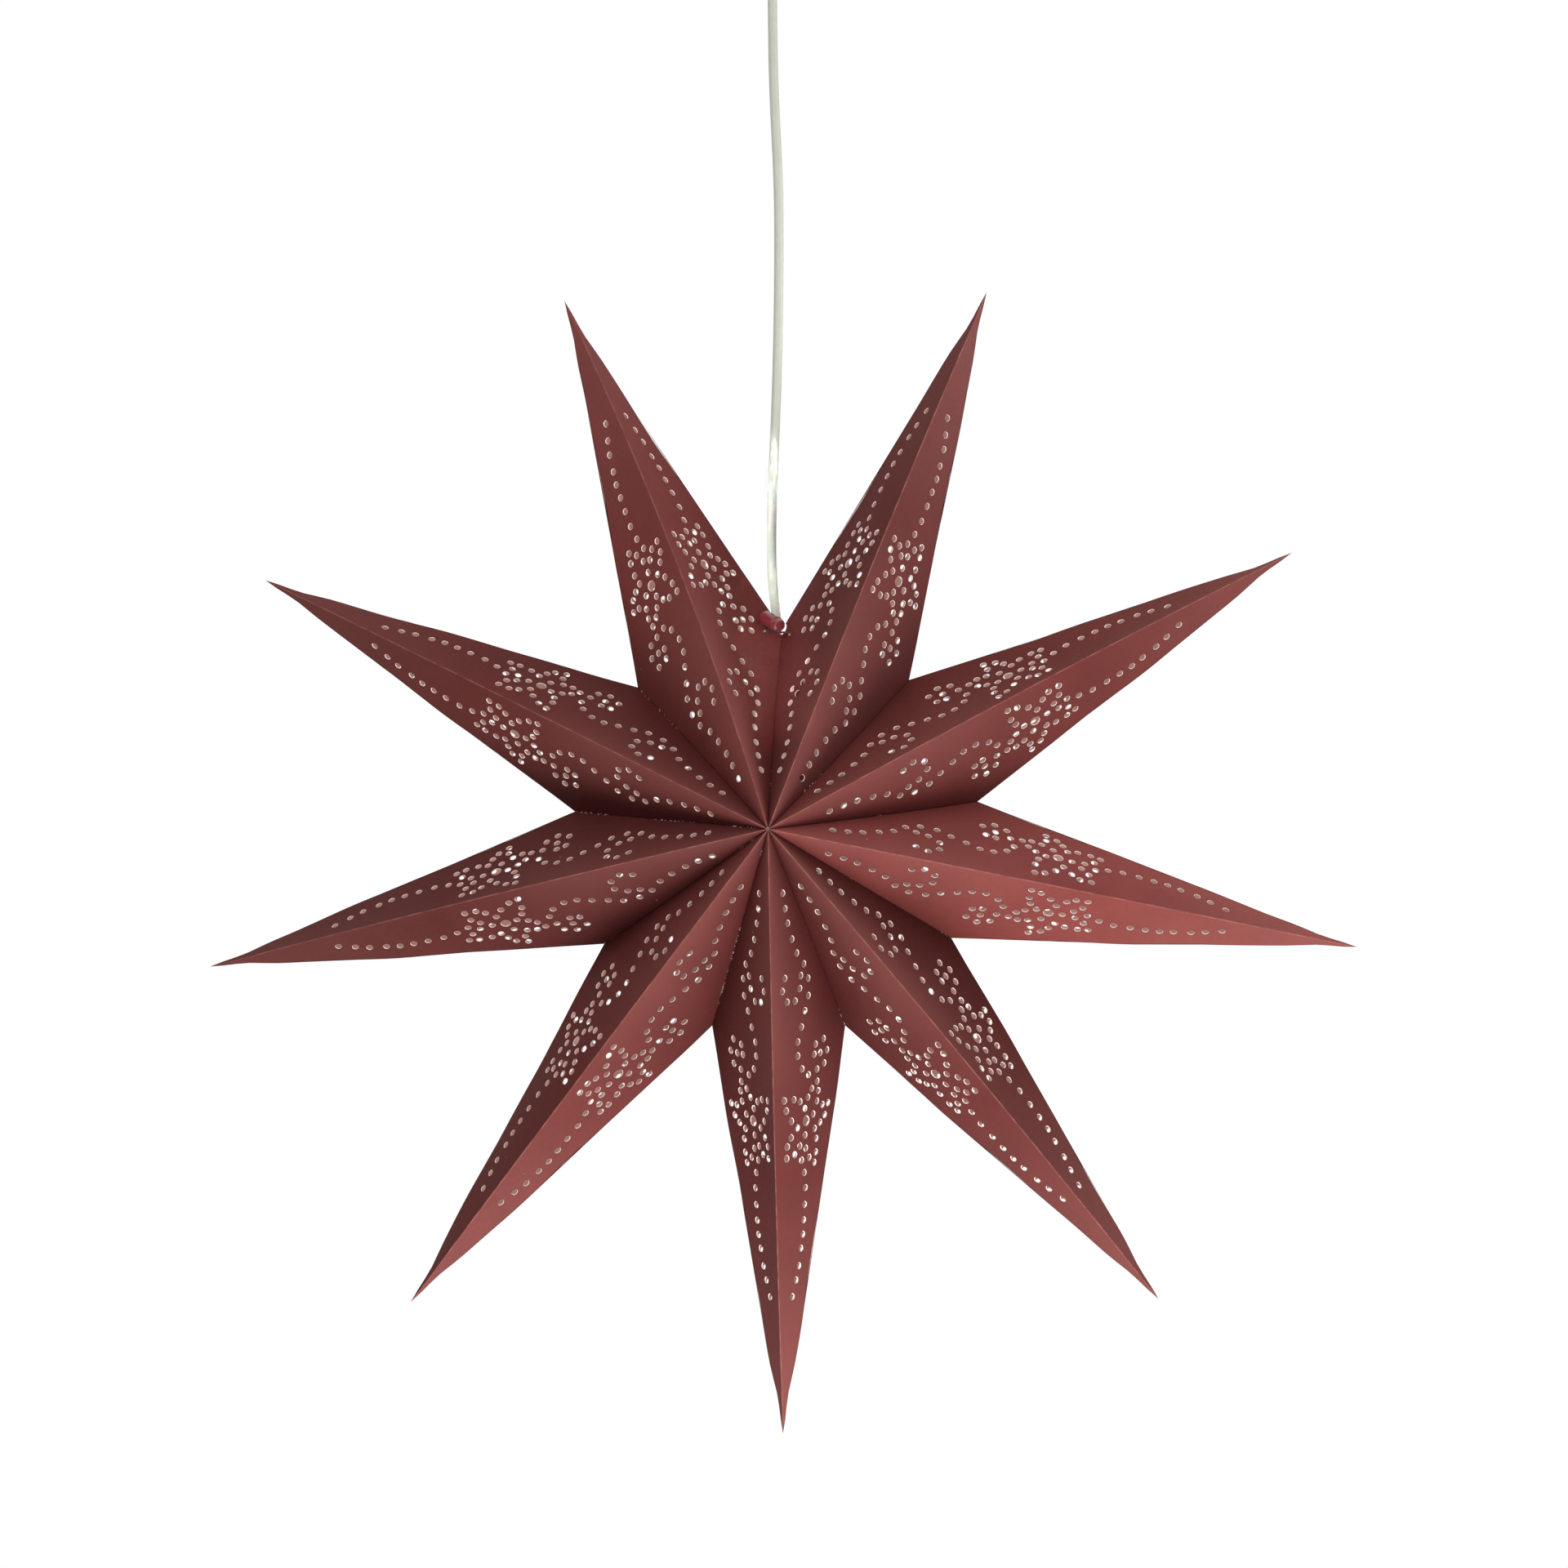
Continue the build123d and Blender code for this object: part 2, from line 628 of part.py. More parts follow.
barrel_cut = cross_slot(barrel_slot)
button_cut = cross_slot(button_slot)
with BuildPart() as lock_barrel:
    with BuildSketch(lock_plane):
        Circle(barrel_radius)
    extrude(amount=barrel_length)
    chamfer(lock_barrel.edges().filter_by(GeomType.CIRCLE), length=barrel_edge / 2)
    with BuildSketch(lock_plane.offset(barrel_floor)):
        Circle(button_radius + fit_clearance)
    extrude(amount=barrel_length, mode=Mode.SUBTRACT)
    add(barrel_cut, mode=Mode.SUBTRACT)
save(lock_barrel, "lock_barrel")

with BuildPart() as lock_button:
    with BuildSketch(lock_plane.offset(button_inner)):
        Circle(button_radius)
    extrude(amount=barrel_length + button_stand_out - button_inner)
    button_rim = lock_button.edges().filter_by(GeomType.CIRCLE).sort_by(Axis(lock_plane.origin, lock_axis))[-1]
    chamfer(button_rim, length=button_dome / 2, length2=button_dome)
    add(button_cut, mode=Mode.SUBTRACT)
save(lock_button, "lock_button")

spring_height = button_inner - barrel_floor - 2 * fit_clearance - spring_wire
with BuildPart() as lock_spring:
    with BuildLine():
        coil = Helix(
            pitch=spring_height / spring_turns,
            height=spring_height,
            radius=spring_radius,
            center=lock_plane.origin + lock_axis * (barrel_floor + fit_clearance + spring_wire / 2),
            direction=lock_axis,
        )
    with BuildSketch(Plane(origin=coil @ 0, z_dir=coil % 0)):
        RegularPolygon(radius=spring_wire / 2, side_count=spring_sides)
    sweep(path=coil, is_frenet=True)
save(lock_spring, "lock_spring")
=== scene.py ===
import logging
import math
from dataclasses import dataclass, field
from enum import Enum
from typing import Any, Sequence

import bpy
import numpy as np
from mathutils import Matrix, Vector
from mathutils.geometry import delaunay_2d_cdt


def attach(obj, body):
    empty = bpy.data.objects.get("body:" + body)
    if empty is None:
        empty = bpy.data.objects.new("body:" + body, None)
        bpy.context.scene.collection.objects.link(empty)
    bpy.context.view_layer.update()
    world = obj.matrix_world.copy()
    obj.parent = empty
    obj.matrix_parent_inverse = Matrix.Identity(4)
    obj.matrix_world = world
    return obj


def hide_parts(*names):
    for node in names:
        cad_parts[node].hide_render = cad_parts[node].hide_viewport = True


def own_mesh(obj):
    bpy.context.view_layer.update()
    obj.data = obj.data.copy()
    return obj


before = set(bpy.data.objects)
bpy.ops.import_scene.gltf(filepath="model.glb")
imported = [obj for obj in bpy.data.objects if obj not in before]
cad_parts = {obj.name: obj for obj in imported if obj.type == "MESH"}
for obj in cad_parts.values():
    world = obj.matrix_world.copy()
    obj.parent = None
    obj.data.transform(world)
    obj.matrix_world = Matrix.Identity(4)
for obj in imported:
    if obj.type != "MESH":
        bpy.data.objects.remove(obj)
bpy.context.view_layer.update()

log = logging.getLogger("paper_star")

Array = np.ndarray
Colour = tuple[float, float, float]

MM = 0.001
STAR_DROP = 535.0
STAR_CENTRE = np.array([0.0, 0.0, -STAR_DROP])
UP = np.array([0.0, 0.0, 1.0])
FOLD_ANGLE = 32.0
CORD_ANGLE = 60.0


# ---------------------------------------------------------------- the star's geometry


@dataclass(frozen=True)
class StarShape:
    """The folded star's geometry in millimetres, with the small errors of one folded by hand."""

    arms: int = 9
    tip: float = 320.0
    notch: float = 111.0
    depth: float = 70.0
    paper: float = 0.4
    flange: float = 5.0
    apex_blunt: float = 0.5
    # how far each tip and each valley is from its true place: outwards, and anticlockwise
    tip_errors: tuple[tuple[float, float], ...] = (
        (2.5, -6.0), (-1.0, -6.6), (-3.2, -6.2), (0.0, -5.2), (-2.0, -0.5), (-2.8, 3.1),
        (-2.9, 6.3), (-1.5, 10.0), (3.1, 5.4),
    )
    notch_errors: tuple[tuple[float, float], ...] = (
        (6.8, -2.6), (2.6, 2.2), (-1.2, 2.3), (-4.4, 0.9), (-6.1, -1.0), (-6.4, -1.4),
        (-2.1, -2.3), (1.9, -0.4), (5.0, 2.4),
    )
    # how far each ridge bows anticlockwise halfway along on the front, and its share on the back
    ridge_bows: tuple[float, ...] = (1.8, 1.8, 0.3, 1.9, -0.8, -0.3, -1.2, -0.5, -5.8)
    back_bow: float = -0.7
    # how light each arm's sheet is drawn, from 0 to 1: partly its own dye, partly painted light set to
    # how brightly each arm is lit
    tones_and_painted_light: tuple[float, ...] = (0.0, 0.41, 1.0, 0.0, 0.0, 0.36, 0.0, 0.24, 0.67)
    # how much of its width a tip is pinched by, where, and over what length, as shares of its reach
    pinch: tuple[float, float, float] = (0.26, 0.945, 0.035)
    face_swell: float = 1.5
    face_ripple: float = 0.5
    ripple_run: tuple[float, float] = (23.0, 11.0)
    crease_wave: float = 0.45

    @property
    def half_pitch(self) -> float:
        """Half the angle between two arms, in radians."""
        return math.pi / self.arms

    @property
    def ridge(self) -> float:
        """Length of a ridge."""
        return math.hypot(self.tip, self.depth)

    @property
    def seam(self) -> float:
        """Length of a seam, from the apex to the valley."""
        return math.hypot(self.notch, self.depth)

    @property
    def crease(self) -> float:
        """Length of a side crease, from the valley to the tip."""
        return math.hypot(self.ridge - self.corner[0], self.corner[1])

    @property
    def corner(self) -> Array:
        """The valley's place in the flat panel.

        Returns:
            Its run along the ridge and its height. Formula: the run is the seam's vector times the
            ridge's direction, and the height closes the right triangle with the seam.
        """
        along = self.notch * math.cos(self.half_pitch)
        run = (self.tip * along + self.depth**2) / self.ridge
        return np.array([run, math.sqrt(self.seam**2 - run**2)])

    def azimuth(self, arm: int) -> float:
        """Direction of an arm, clockwise from the open seam at the top, in radians."""
        return math.pi / 2 + self.half_pitch - 2 * self.half_pitch * arm

    def outwards(self, azimuth: float) -> Array:
        """Unit vector away from the star's centre."""
        return np.array([math.cos(azimuth), 0.0, math.sin(azimuth)])

    def round_about(self, azimuth: float) -> Array:
        """Unit vector anticlockwise round the star."""
        return np.array([-math.sin(azimuth), 0.0, math.cos(azimuth)])


# ---------------------------------------------------------------- shader expressions


def paint(red: float, green: float, blue: float) -> Colour:
    """A screen colour of 0 to 255 as the linear colour that a shader takes.

    Args:
        red, green, blue: The screen colour.

    Returns:
        The linear colour. Formula: ((c + 0.055) / 1.055) ** 2.4 above the toe, c / 12.92 below it.
    """
    c = np.array([red, green, blue]) / 255.0
    linear = np.where(c > 0.04045, ((c + 0.055) / 1.055) ** 2.4, c / 12.92)
    return tuple(float(v) for v in linear)


class Signal:
    """One output socket of a shader graph; arithmetic on it adds Math nodes."""

    def __init__(self, graph: "Graph", socket: bpy.types.NodeSocket) -> None:
        """Keep the socket and the graph that it is part of."""
        self.graph = graph
        self.socket = socket

    def math(self, operation: str, *values: Any, clamp: bool = False) -> "Signal":
        """Add one Math node.

        Args:
            operation: The node's operation.
            values: Its inputs in order, signals or numbers.
            clamp: Whether the result is held to 0 to 1.

        Returns:
            The node's result.
        """
        settings = {"operation": operation, "use_clamp": clamp}
        return self.graph.node("ShaderNodeMath", settings, dict(enumerate(values)))

    def __add__(self, other: Any) -> "Signal":
        """Sum."""
        return self.math("ADD", self, other)

    __radd__ = __add__

    def __mul__(self, other: Any) -> "Signal":
        """Product."""
        return self.math("MULTIPLY", self, other)

    __rmul__ = __mul__

    def __sub__(self, other: Any) -> "Signal":
        """Difference."""
        return self.math("SUBTRACT", self, other)

    def __rsub__(self, other: Any) -> "Signal":
        """Reflected difference."""
        return self.math("SUBTRACT", other, self)

    def __truediv__(self, other: Any) -> "Signal":
        """Quotient."""
        return self.math("DIVIDE", self, other)

    def rise(self, start: float, end: float) -> "Signal":
        """A straight ramp from 0 at start to 1 at end, held outside; it falls if end is the lower."""
        span = end - start
        return self.math("MULTIPLY_ADD", self, 1.0 / span, -start / span, clamp=True)


class Graph:
    """The node graph of one material."""

    def __init__(self, name: str) -> None:
        """Make an empty material.

        Args:
            name: The finish's name.
        """
        self.material = bpy.data.materials.new(f"{name}_finish")
        self.material.use_nodes = True
        self.tree = self.material.node_tree
        self.tree.nodes.clear()

    def node(
        self,
        kind: str,
        settings: dict[str, Any] | None = None,
        values: dict[Any, Any] | None = None,
        output: int | str = 0,
    ) -> Signal:
        """Add a node of any type.

        Args:
            kind: The node's type.
            settings: Its settings, set first.
            values: What its sockets hold, by name or number: signals are linked, the rest is set.
            output: Which output to give back.

        Returns:
            That output as a signal.
        """
        made = self.tree.nodes.new(kind)
        for key, value in (settings or {}).items():
            setattr(made, key, value)
        for key, value in (values or {}).items():
            socket = made.inputs[key]
            if isinstance(value, Signal):
                self.tree.links.new(value.socket, socket)
            elif isinstance(value, tuple) and socket.type == "RGBA":
                socket.default_value = (*value, 1.0)
            else:
                socket.default_value = value
        return Signal(self, made.outputs[output])

    def place(self) -> Signal:
        """Object coordinates, in metres."""
        return self.node("ShaderNodeTexCoord", output="Object")

    def attribute(self, name: str) -> Signal:
        """A number kept on the mesh's vertices."""
        return self.node("ShaderNodeAttribute", {"attribute_name": name}, output="Fac")

    def noise(self, scale: float, detail: float = 2.0, stretch: Colour = (1.0, 1.0, 1.0)) -> Signal:
        """Noise from 0 to 1 on Object coordinates.

        Args:
            scale: Grains in a metre.
            detail: Octaves.
            stretch: Scale of each axis against the others.

        Returns:
            The noise.
        """
        mapped = self.node("ShaderNodeMapping", values={"Vector": self.place(), "Scale": stretch})
        values = {"Vector": mapped, "Scale": scale, "Detail": detail}
        return self.node("ShaderNodeTexNoise", values=values)

    def mix(self, share: Any, first: Any, second: Any) -> Signal:
        """Two colours mixed: share 0 is the first and 1 the second."""
        values = {0: share, 6: first, 7: second}
        return self.node("ShaderNodeMix", {"data_type": "RGBA"}, values, output=2)

    def shade(self, share: Any, colour: Any, grey: float) -> Signal:
        """A colour taken towards itself times a grey, by a share."""
        settings = {"data_type": "RGBA", "blend_type": "MULTIPLY"}
        return self.node("ShaderNodeMix", settings, {0: share, 6: colour, 7: (grey,) * 3}, output=2)

    def bump(self, height: Signal, depth: float) -> Signal:
        """A normal from a height signal, with depth in metres."""
        values = {"Height": height, "Distance": depth, "Strength": 1.0}
        return self.node("ShaderNodeBump", values=values)

    def surface(self, **values: Any) -> bpy.types.Material:
        """End the graph in a Principled surface.

        Args:
            values: Its sockets, with underscores for spaces.

        Returns:
            The finished material.
        """
        named = {key.replace("_", " "): value for key, value in values.items()}
        shader = self.node("ShaderNodeBsdfPrincipled", values=named, output="BSDF")
        end = self.tree.nodes.new("ShaderNodeOutputMaterial")
        self.tree.links.new(shader.socket, end.inputs["Surface"])
        return self.material


# ---------------------------------------------------------------- finishes


@dataclass(frozen=True)
class DyedPaper:
    """Satin paper: dye on its outer side, wear and a painted highlight on the ridge, painted shade
    along creases, seams and hole edges, painted light and shade near the centre, and a little dust.

    The ranges are in millimetres: along the ridge from the apex for the tip's paling and the centre's
    painted light and shade, and away from the line that each follows for the others. Grains are given
    as noise scales, in grains to a metre.
    """

    name: str = "arm_paper"
    shape: StarShape = StarShape()
    # the two ends of the arms' tone, which is partly painted light
    dark_dye: Colour = paint(96, 44, 42)
    light_dye: Colour = paint(128, 61, 57)
    paler_and_painted_light: Colour = paint(142, 88, 83)
    worn_and_highlight: Colour = paint(172, 112, 104)
    painted_shade: Colour = paint(52, 18, 18)
    dust: Colour = paint(225, 205, 200)
    roughness: float = 0.5
    gloss: float = 0.05
    tip_paling_range: tuple[float, float] = (150.0, 330.0)
    centre_painted_light_range: tuple[float, float] = (190.0, 110.0)
    ridge_wear_and_highlight: tuple[float, float] = (0.75, 0.15)
    shade_line_width: tuple[float, float] = (0.8, 0.2)
    torn_line: tuple[float, float] = (0.75, 0.35)
    cloud_grain: float = 38.0
    fleck_grain: float = 420.0
    wear_grain: float = 150.0
    torn_grain: float = 900.0
    torn_stretches: float = 24.0
    dust_cells: float = 95.0
    fibre_grain: float = 1500.0
    cockle_grain: float = 70.0
    relief: float = 0.00006

    def dye_and_painted_light(self, g: Graph, cloud: Signal) -> Signal:
        """The dye, cloudy and paler towards the tip, each arm's tone partly painted light, and near the
        star's centre painted light beside the ridge and painted shade towards the seam.

        Args:
            g: The finish's graph.
            cloud: Where the dye is denser, from 0 to 1.

        Returns:
            The colour.
        """
        along, up = g.attribute("along"), g.attribute("up")
        # each arm's tone: partly its own dye, partly painted light
        colour = g.mix(g.attribute("tone"), self.dark_dye, self.light_dye)
        colour = g.shade(cloud, colour, 0.74)
        # paler and pinker towards the tip
        colour = g.mix(along.rise(*self.tip_paling_range) * 0.42, colour, self.paler_and_painted_light)
        # near the centre, painted light beside the ridge and painted shade towards the seam, for the
        # shade that falls in the valleys between arms
        run, height = self.shape.corner.tolist()
        towards_seam = up / (along * (height / run) + 0.001)
        near = along.rise(*self.centre_painted_light_range)
        colour = g.mix(near * (1.0 - towards_seam) * 0.36, colour, self.paler_and_painted_light)
        return g.shade(near * towards_seam, colour, 0.66)

    def folded(self, g: Graph, colour: Signal) -> Signal:
        """Wear and a painted highlight on the ridge, painted shade along the creases and seams, torn
        fibres in the seams, and painted shadow round the hole edges.

        Args:
            g: The finish's graph.
            colour: The colour so far.

        Returns:
            The colour with them.
        """
        shape = self.shape
        along, up = g.attribute("along"), g.attribute("up")
        # the ridge: patches of wear, and a painted highlight where its rounded crest would catch the
        # light
        patchy = g.noise(self.wear_grain).rise(0.38, 0.62)
        ridge = up.rise(*self.ridge_wear_and_highlight) * (0.35 + 0.65 * patchy)
        colour = g.mix(ridge * 0.6, colour, self.worn_and_highlight)
        run, height = shape.corner.tolist()
        sine, cosine = height / shape.crease, (shape.ridge - run) / shape.crease
        off_crease = shape.ridge * sine - along * sine - up * cosine
        # painted shade in a dark line along the side crease
        colour = g.mix(off_crease.rise(*self.shade_line_width) * 0.5, colour, self.painted_shade)
        off_seam = along * (height / shape.seam) - up * (run / shape.seam)
        # painted shade in a dark line along the seam
        colour = g.mix(off_seam.rise(*self.shade_line_width) * 0.6, colour, self.painted_shade)
        torn = g.noise(self.torn_grain, 1.0).rise(0.56, 0.64)
        torn = torn * g.noise(self.torn_stretches, 1.0).rise(0.52, 0.6)
        colour = g.mix(off_seam.rise(*self.torn_line) * torn * 0.6, colour, self.dust)
        # painted shadow round the edges of the bigger holes
        return g.mix(g.attribute("rim") * 0.6, colour, self.painted_shade)

    def dusted(self, g: Graph, colour: Signal) -> Signal:
        """A pale speck in the middle of a few cells.

        Args:
            g: The finish's graph.
            colour: The colour so far.

        Returns:
            The colour with specks.
        """
        cells = {"Vector": g.place(), "Scale": self.dust_cells}
        speck = g.node("ShaderNodeTexVoronoi", values=cells, output="Distance").rise(0.035, 0.015)
        chance = g.node("ShaderNodeTexVoronoi", values=cells, output="Color")
        chosen = g.node("ShaderNodeSeparateColor", values={0: chance}).rise(0.86, 0.88)
        return g.mix(speck * chosen * 0.75, colour, self.dust)

    def material(self) -> bpy.types.Material:
        """Lay the dye with its painted light and shade, then the ridge's wear and painted highlight and
        the painted shade of creases, seams and holes, then dust, over fine fibres.

        Returns:
            The material.
        """
        g = Graph(self.name)
        cloud = g.noise(self.cloud_grain, 3.0).rise(0.3, 0.7)
        fleck = g.noise(self.fleck_grain, 3.0).rise(0.25, 0.75)
        colour = self.folded(g, self.dye_and_painted_light(g, cloud * 0.55 + fleck * 0.3))
        return g.surface(
            Base_Color=self.dusted(g, colour),
            Roughness=self.roughness + 0.1 * fleck - 0.05 * cloud,
            Specular_IOR_Level=self.gloss,
            Normal=g.bump(g.noise(self.fibre_grain) + g.noise(self.cockle_grain) * 2.0, self.relief),
        )


@dataclass(frozen=True)
class RawPaper:
    """Undyed paper: the inner side of the arms, and where the punch cut through them."""

    name: str
    colour: Colour
    shade: Colour
    glow: float
    apex_fade: tuple[float, float] = (170.0, 50.0)

    def material(self) -> bpy.types.Material:
        """Pale fibres, and a faint glow, less towards the apex, for light through thin paper.

        Returns:
            The material.
        """
        g = Graph(self.name)
        fibre = g.noise(600.0, 3.0).rise(0.3, 0.7)
        cloud = g.noise(60.0)
        colour = g.mix(fibre * 0.5 + cloud * 0.3, self.colour, self.shade)
        return g.surface(
            Base_Color=colour,
            Roughness=0.8 - 0.1 * fibre,
            Normal=g.bump(fibre, 0.00004),
            Emission_Color=g.shade(g.attribute("along").rise(*self.apex_fade), colour, 0.3),
            Emission_Strength=self.glow,
        )


@dataclass(frozen=True)
class Moulded:
    """Moulded plastic, rubber or glaze: a slightly uneven colour, fine grain and handling marks."""

    name: str
    colour: Colour
    shade: Colour
    roughness: float = 0.4
    grain: float = 900.0
    relief: float = 0.00003
    coat: float = 0.0

    def material(self) -> bpy.types.Material:
        """Cloud the colour, and roughen it where it has been touched.

        Returns:
            The material.
        """
        g = Graph(self.name)
        cloud = g.noise(140.0, 3.0).rise(0.3, 0.7)
        marks = g.noise(260.0, 4.0, (1.0, 1.0, 0.3)).rise(0.55, 0.8)
        return g.surface(
            Base_Color=g.mix(cloud * 0.7 + marks * 0.2, self.colour, self.shade),
            Roughness=self.roughness + 0.12 * marks - 0.05 * cloud,
            Coat_Weight=self.coat,
            Normal=g.bump(g.noise(self.grain), self.relief),
        )


@dataclass(frozen=True)
class Plated:
    """Plated metal with fine brushing and a few dull spots."""

    name: str
    colour: Colour
    dull: Colour
    roughness: float = 0.3

    def material(self) -> bpy.types.Material:
        """Brush the metal along Z and dull it in spots.

        Returns:
            The material.
        """
        g = Graph(self.name)
        brushed = g.noise(900.0, 2.0, (1.0, 1.0, 0.08))
        spots = g.noise(210.0, 3.0).rise(0.5, 0.75)
        return g.surface(
            Base_Color=g.mix(spots * 0.6, self.colour, self.dull),
            Metallic=1.0,
            Roughness=self.roughness + 0.25 * spots + 0.1 * brushed,
            Normal=g.bump(brushed, 0.00002),
        )


@dataclass(frozen=True)
class OpalGlass:
    """The bulb's milky envelope, unlit."""

    name: str = "opal_glass"
    colour: Colour = paint(212, 210, 204)
    shade: Colour = paint(200, 197, 189)

    def material(self) -> bpy.types.Material:
        """A smooth milky skin with the faintest cloud.

        Returns:
            The material.
        """
        g = Graph(self.name)
        cloud = g.noise(90.0)
        colour = g.mix(cloud, self.colour, self.shade)
        return g.surface(Base_Color=colour, Roughness=0.22 + 0.06 * cloud)


@dataclass(frozen=True)
class LaidString:
    """Thin dark cotton string; its strands are in its mesh, and the nodes add fibres and painted shade
    between the strands.
    """

    name: str = "tie_string"
    colour: Colour = paint(46, 22, 24)
    light: Colour = paint(92, 58, 58)

    def material(self) -> bpy.types.Material:
        """Mix dark and light fibres in fine noise, lighter where a strand stands out: painted shade in
        the grooves between strands.

        Returns:
            The material.
        """
        g = Graph(self.name)
        fibre = g.noise(2600.0, 3.0).rise(0.35, 0.7)
        strand = g.attribute("strand")
        return g.surface(
            # lighter on each strand's crown, which paints shade into the grooves
            Base_Color=g.mix(fibre * 0.5 + strand * 0.3, self.colour, self.light),
            Roughness=0.85 - 0.1 * fibre,
            Normal=g.bump(fibre, 0.00005),
        )


class Finish(Enum):
    """Every finish on the lantern."""

    ARM_PAPER = DyedPaper()
    PAPER_INSIDE = RawPaper("arm_paper_inside", paint(196, 162, 154), paint(174, 140, 132), glow=0.3)
    PAPER_CUT = RawPaper("arm_paper_cut", paint(238, 226, 220), paint(218, 202, 195), glow=0.12)
    CORD_SHEATH = Moulded(
        "cord_sheath", paint(194, 197, 184), paint(184, 188, 173), 0.5, grain=700.0, relief=0.00002
    )
    LEAD_SHEATH = Moulded("lead_sheath", paint(120, 74, 48), paint(98, 60, 40), 0.42)
    TIE_STRING = LaidString()
    LOCK_BODY = Moulded(
        "lock_body", paint(96, 28, 33), paint(80, 22, 27), 0.4, relief=0.00001, coat=0.1
    )
    LOCK_CAP = Moulded(
        "lock_cap", paint(128, 46, 52), paint(110, 38, 44), 0.34, relief=0.00001, coat=0.15
    )
    STEEL = Plated("steel", paint(190, 192, 194), paint(150, 150, 150), 0.3)
    BRASS = Plated("brass", paint(206, 176, 108), paint(160, 130, 78), 0.28)
    WHITE_PLASTIC = Moulded(
        "white_plastic", paint(204, 204, 198), paint(192, 191, 184), 0.34, coat=0.15
    )
    WHITE_RUBBER = Moulded("white_rubber", paint(190, 190, 184), paint(176, 175, 168), 0.62)
    CERAMIC = Moulded(
        "ceramic", paint(202, 198, 188), paint(187, 182, 170), 0.25, 400.0, 0.00005, 0.2
    )
    OPAL_GLASS = OpalGlass()

    def dress(self, piece: bpy.types.Object) -> bpy.types.Object:
        """Give a piece this finish alone.

        Args:
            piece: The piece.

        Returns:
            The same piece.
        """
        piece.data.materials.clear()
        piece.data.materials.append(self.material())
        return piece

    def settle(self, piece: bpy.types.Object, node: str, body: str) -> bpy.types.Object:
        """Dress a new piece, which stands for a node of the frame and rides on a body.

        Args:
            piece: The piece.
            node: The node that it replaces.
            body: The body that carries it.

        Returns:
            The same piece.
        """
        self.dress(piece)
        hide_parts(node)
        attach(piece, body)
        return piece

    def material(self) -> bpy.types.Material:
        """The finish's material, made once; its name keeps it apart from the frame's plain ones."""
        return bpy.data.materials.get(f"{self.value.name}_finish") or self.value.material()


def dress_nodes(finishes: dict[Finish, Sequence[str]]) -> list[bpy.types.Object]:
    """Give nodes of the frame their finishes."""
    return [made.dress(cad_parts[node]) for made, nodes in finishes.items() for node in nodes]


# ---------------------------------------------------------------- surfaces


@dataclass
class Surface:
    """A mesh in the making: points in millimetres, faces, and numbers kept on the points."""

    points: Array
    faces: list[Sequence[int]]
    numbers: dict[str, Array] = field(default_factory=dict)

    @classmethod
    def empty(cls) -> "Surface":
        """A surface without points, to join others to."""
        return cls(np.zeros((0, 3)), [])

    def joined(self, other: "Surface") -> "Surface":
        """Both surfaces as one; a number that one of them lacks is 0 there.

        Args:
            other: The surface to add.

        Returns:
            The joined surface.
        """
        shift = len(self.points)
        faces = list(self.faces) + [[i + shift for i in face] for face in other.faces]
        numbers = {}
        for key in {**self.numbers, **other.numbers}:
            first = self.numbers.get(key, np.zeros(shift))
            second = other.numbers.get(key, np.zeros(len(other.points)))
            numbers[key] = np.concatenate([first, second])
        return Surface(np.concatenate([self.points, other.points]), faces, numbers)

    def welded(self, reach: float = 0.002) -> "Surface":
        """Points that fall together made one, and faces that lose their area dropped.

        Args:
            reach: How close two points are, in millimetres, when they become one.

        Returns:
            The welded surface.
        """
        keys = np.round(self.points / reach).astype(np.int64)
        _, first, inverse = np.unique(keys, axis=0, return_index=True, return_inverse=True)
        inverse = inverse.ravel()
        faces = [list(dict.fromkeys(inverse[list(face)].tolist())) for face in self.faces]
        numbers = {key: value[first] for key, value in self.numbers.items()}
        return Surface(self.points[first], [face for face in faces if len(face) > 2], numbers)

    def piece(self, name: str, smooth_angle: float = 30.0) -> bpy.types.Object:
        """Make the object, at the origin and unturned.

        Args:
            name: The piece's name.
            smooth_angle: Edges that turn more than this many degrees stay sharp.

        Returns:
            The new object.
        """
        mesh = bpy.data.meshes.new(name)
        mesh.from_pydata((self.points * MM).tolist(), [], self.faces)
        for key, value in self.numbers.items():
            layer = mesh.attributes.new(key, "FLOAT", "POINT")
            layer.data.foreach_set("value", np.ascontiguousarray(value, dtype=np.float32))
        mesh.update()
        mesh.shade_smooth()
        mesh.set_sharp_from_angle(angle=math.radians(smooth_angle))
        return linked(name, mesh)


def linked(name: str, data: Any) -> bpy.types.Object:
    """A new object in the scene.

    Args:
        name: Its name.
        data: Its mesh, curve, lamp or camera.

    Returns:
        The object, at the origin and unturned.
    """
    piece = bpy.data.objects.new(name, data)
    bpy.context.scene.collection.objects.link(piece)
    return piece


def grid_faces(
    rows: int, columns: int, wrap_rows: bool = False, wrap_columns: bool = False
) -> list[list[int]]:
    """Quads over a grid of points that is stored row by row.

    Args:
        rows, columns: The grid's size.
        wrap_rows, wrap_columns: Whether the last row or column joins the first.

    Returns:
        The quads as point numbers.
    """
    row = np.arange(rows if wrap_rows else rows - 1)[:, None]
    column = np.arange(columns if wrap_columns else columns - 1)[None, :]
    next_row, next_column = (row + 1) % rows, (column + 1) % columns
    corners = [
        row * columns + column, row * columns + next_column,
        next_row * columns + next_column, next_row * columns + column,
    ]
    return np.stack(np.broadcast_arrays(*corners), axis=-1).reshape(-1, 4).tolist()


